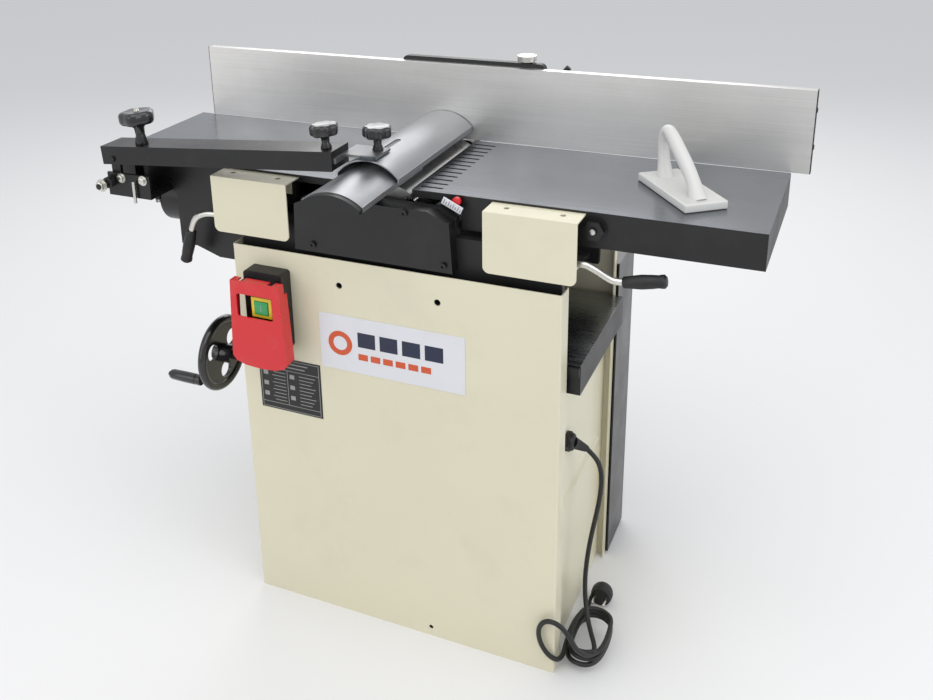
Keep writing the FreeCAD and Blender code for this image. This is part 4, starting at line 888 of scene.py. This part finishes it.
knob_bolt = spun([(0, 0), (0.0042, 0), (0.0042, 0.0007), (0.0026, 0.0012), (0, 0.0012)],
                 (0.313, -0.1366, 0.775), (0, -1, 0), 24)
settle(knob_bolt, "depth_knob_bolt", "depth", ZINC)
print("depth scale", len(ticks), "ticks")

# %% [markdown]
# The crank's grip is turned with a collar and spins on the handwheel. Each of the fence's end caps
# is held by two dome screws, and a dark clip sits on the guard's edge at the top of the arch.

# %% Crank grip, cap screws and guard clip
grip = spun([(0, 0), (0.0088, 0), (0.0098, 0.0012), (0.0098, 0.007), (0.0086, 0.0085), (0.0086, 0.011),
             (0.0098, 0.0125), (0.0099, 0.034), (0.0094, 0.060), (0.0078, 0.0652), (0.0046, 0.066),
             (0.0044, 0.066), (0, 0.066)], (-0.378, -0.152, 0.400), (-1, 0, 0), 40)
settle(grip, "crank_grip", "wheel_grip", PHENOLIC)
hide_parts("handwheel_grip")
END_CAP_T = 0.0014
cap_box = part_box("fence_end_caps")
cap_left = cap_box[0][0] + 0.0016
SCREW_HEIGHTS = (0.842, 0.900)
caps = [block((cap_left, 0.1448, 0.8006), (-0.5115, 0.1583, 0.9310), 0.0004, 2),
        block((0.5718, 0.1448, 0.8006), (0.5718 + END_CAP_T, 0.1583, 0.9310), 0.0004, 2)]
end_caps = settle(joined(caps), "fence_caps", "fence", NYLON)
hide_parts("fence_end_caps")
DOME = [(0, 0), (0.0046, 0), (0.0044, 0.0006), (0.0030, 0.0014), (0, 0.0016)]
cap_screws = [spun(DOME, (0.5732, 0.1515, z), (1, 0, 0), 24) for z in SCREW_HEIGHTS]
cap_screws += [spun(DOME, (cap_left, 0.1515, z), (-1, 0, 0), 24) for z in SCREW_HEIGHTS]
settle(joined(cap_screws), "fence_cap_screws", "fence", BLACK)
clip = block((-0.041, -0.1555, 0.8475), (-0.017, -0.1490, 0.8545), 0.0012, 3)
settle(clip, "guard_edge_clip", "guard", MOTOR_PAINT)
print("crank grip", len(grip.data.polygons), "faces")

# %% [markdown]
# The cable gland is a six-sided nut with a ribbed sleeve that tapers down to the cable, so the
# cable can't kink where it leaves the cabinet.

# %% Cable gland
GLAND_PLACE = Vector((0.265, -0.075, 0.388))
bpy.ops.mesh.primitive_cylinder_add(vertices=6, radius=0.0168, depth=0.009,
                                    location=GLAND_PLACE + Vector((0.0046, 0, 0)),
                                    rotation=(0, math.pi / 2, 0))
nut = soften(bpy.context.object, 0.0012, 3, 20)
dome = spun([(0, 0), (0.0145, 0), (0.0145, 0.003), (0.0125, 0.006), (0.0090, 0.0075), (0, 0.0078)],
            GLAND_PLACE + Vector((0.008, 0, 0)), (1, 0, 0), 36)
sleeve_start = GLAND_PLACE + Vector((0.011, 0, 0))
sleeve_line = Vector(route[0]) - sleeve_start
sleeve_outline = [(0, 0), (0.0098, 0)]
RIBS = 7
for k in range(RIBS):
    along = sleeve_line.length * (0.12 + 0.84 * k / RIBS)
    size = 0.0096 - 0.0041 * k / RIBS
    sleeve_outline += [(size, along), (size, along + 0.0022), (size - 0.0011, along + 0.0026),
                       (size - 0.0011, along + 0.0036)]
sleeve_outline += [(0.0052, sleeve_line.length), (0, sleeve_line.length)]
relief_sleeve = spun(sleeve_outline, sleeve_start, sleeve_line, 32)
gland = settle(joined([nut, dome, relief_sleeve]), "cable_gland_nut", "root", NYLON)
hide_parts("cable_gland")
print("gland sleeve", round(sleeve_line.length * 1000), "mm")

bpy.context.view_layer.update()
bpy.ops.object.select_all(action="DESELECT")
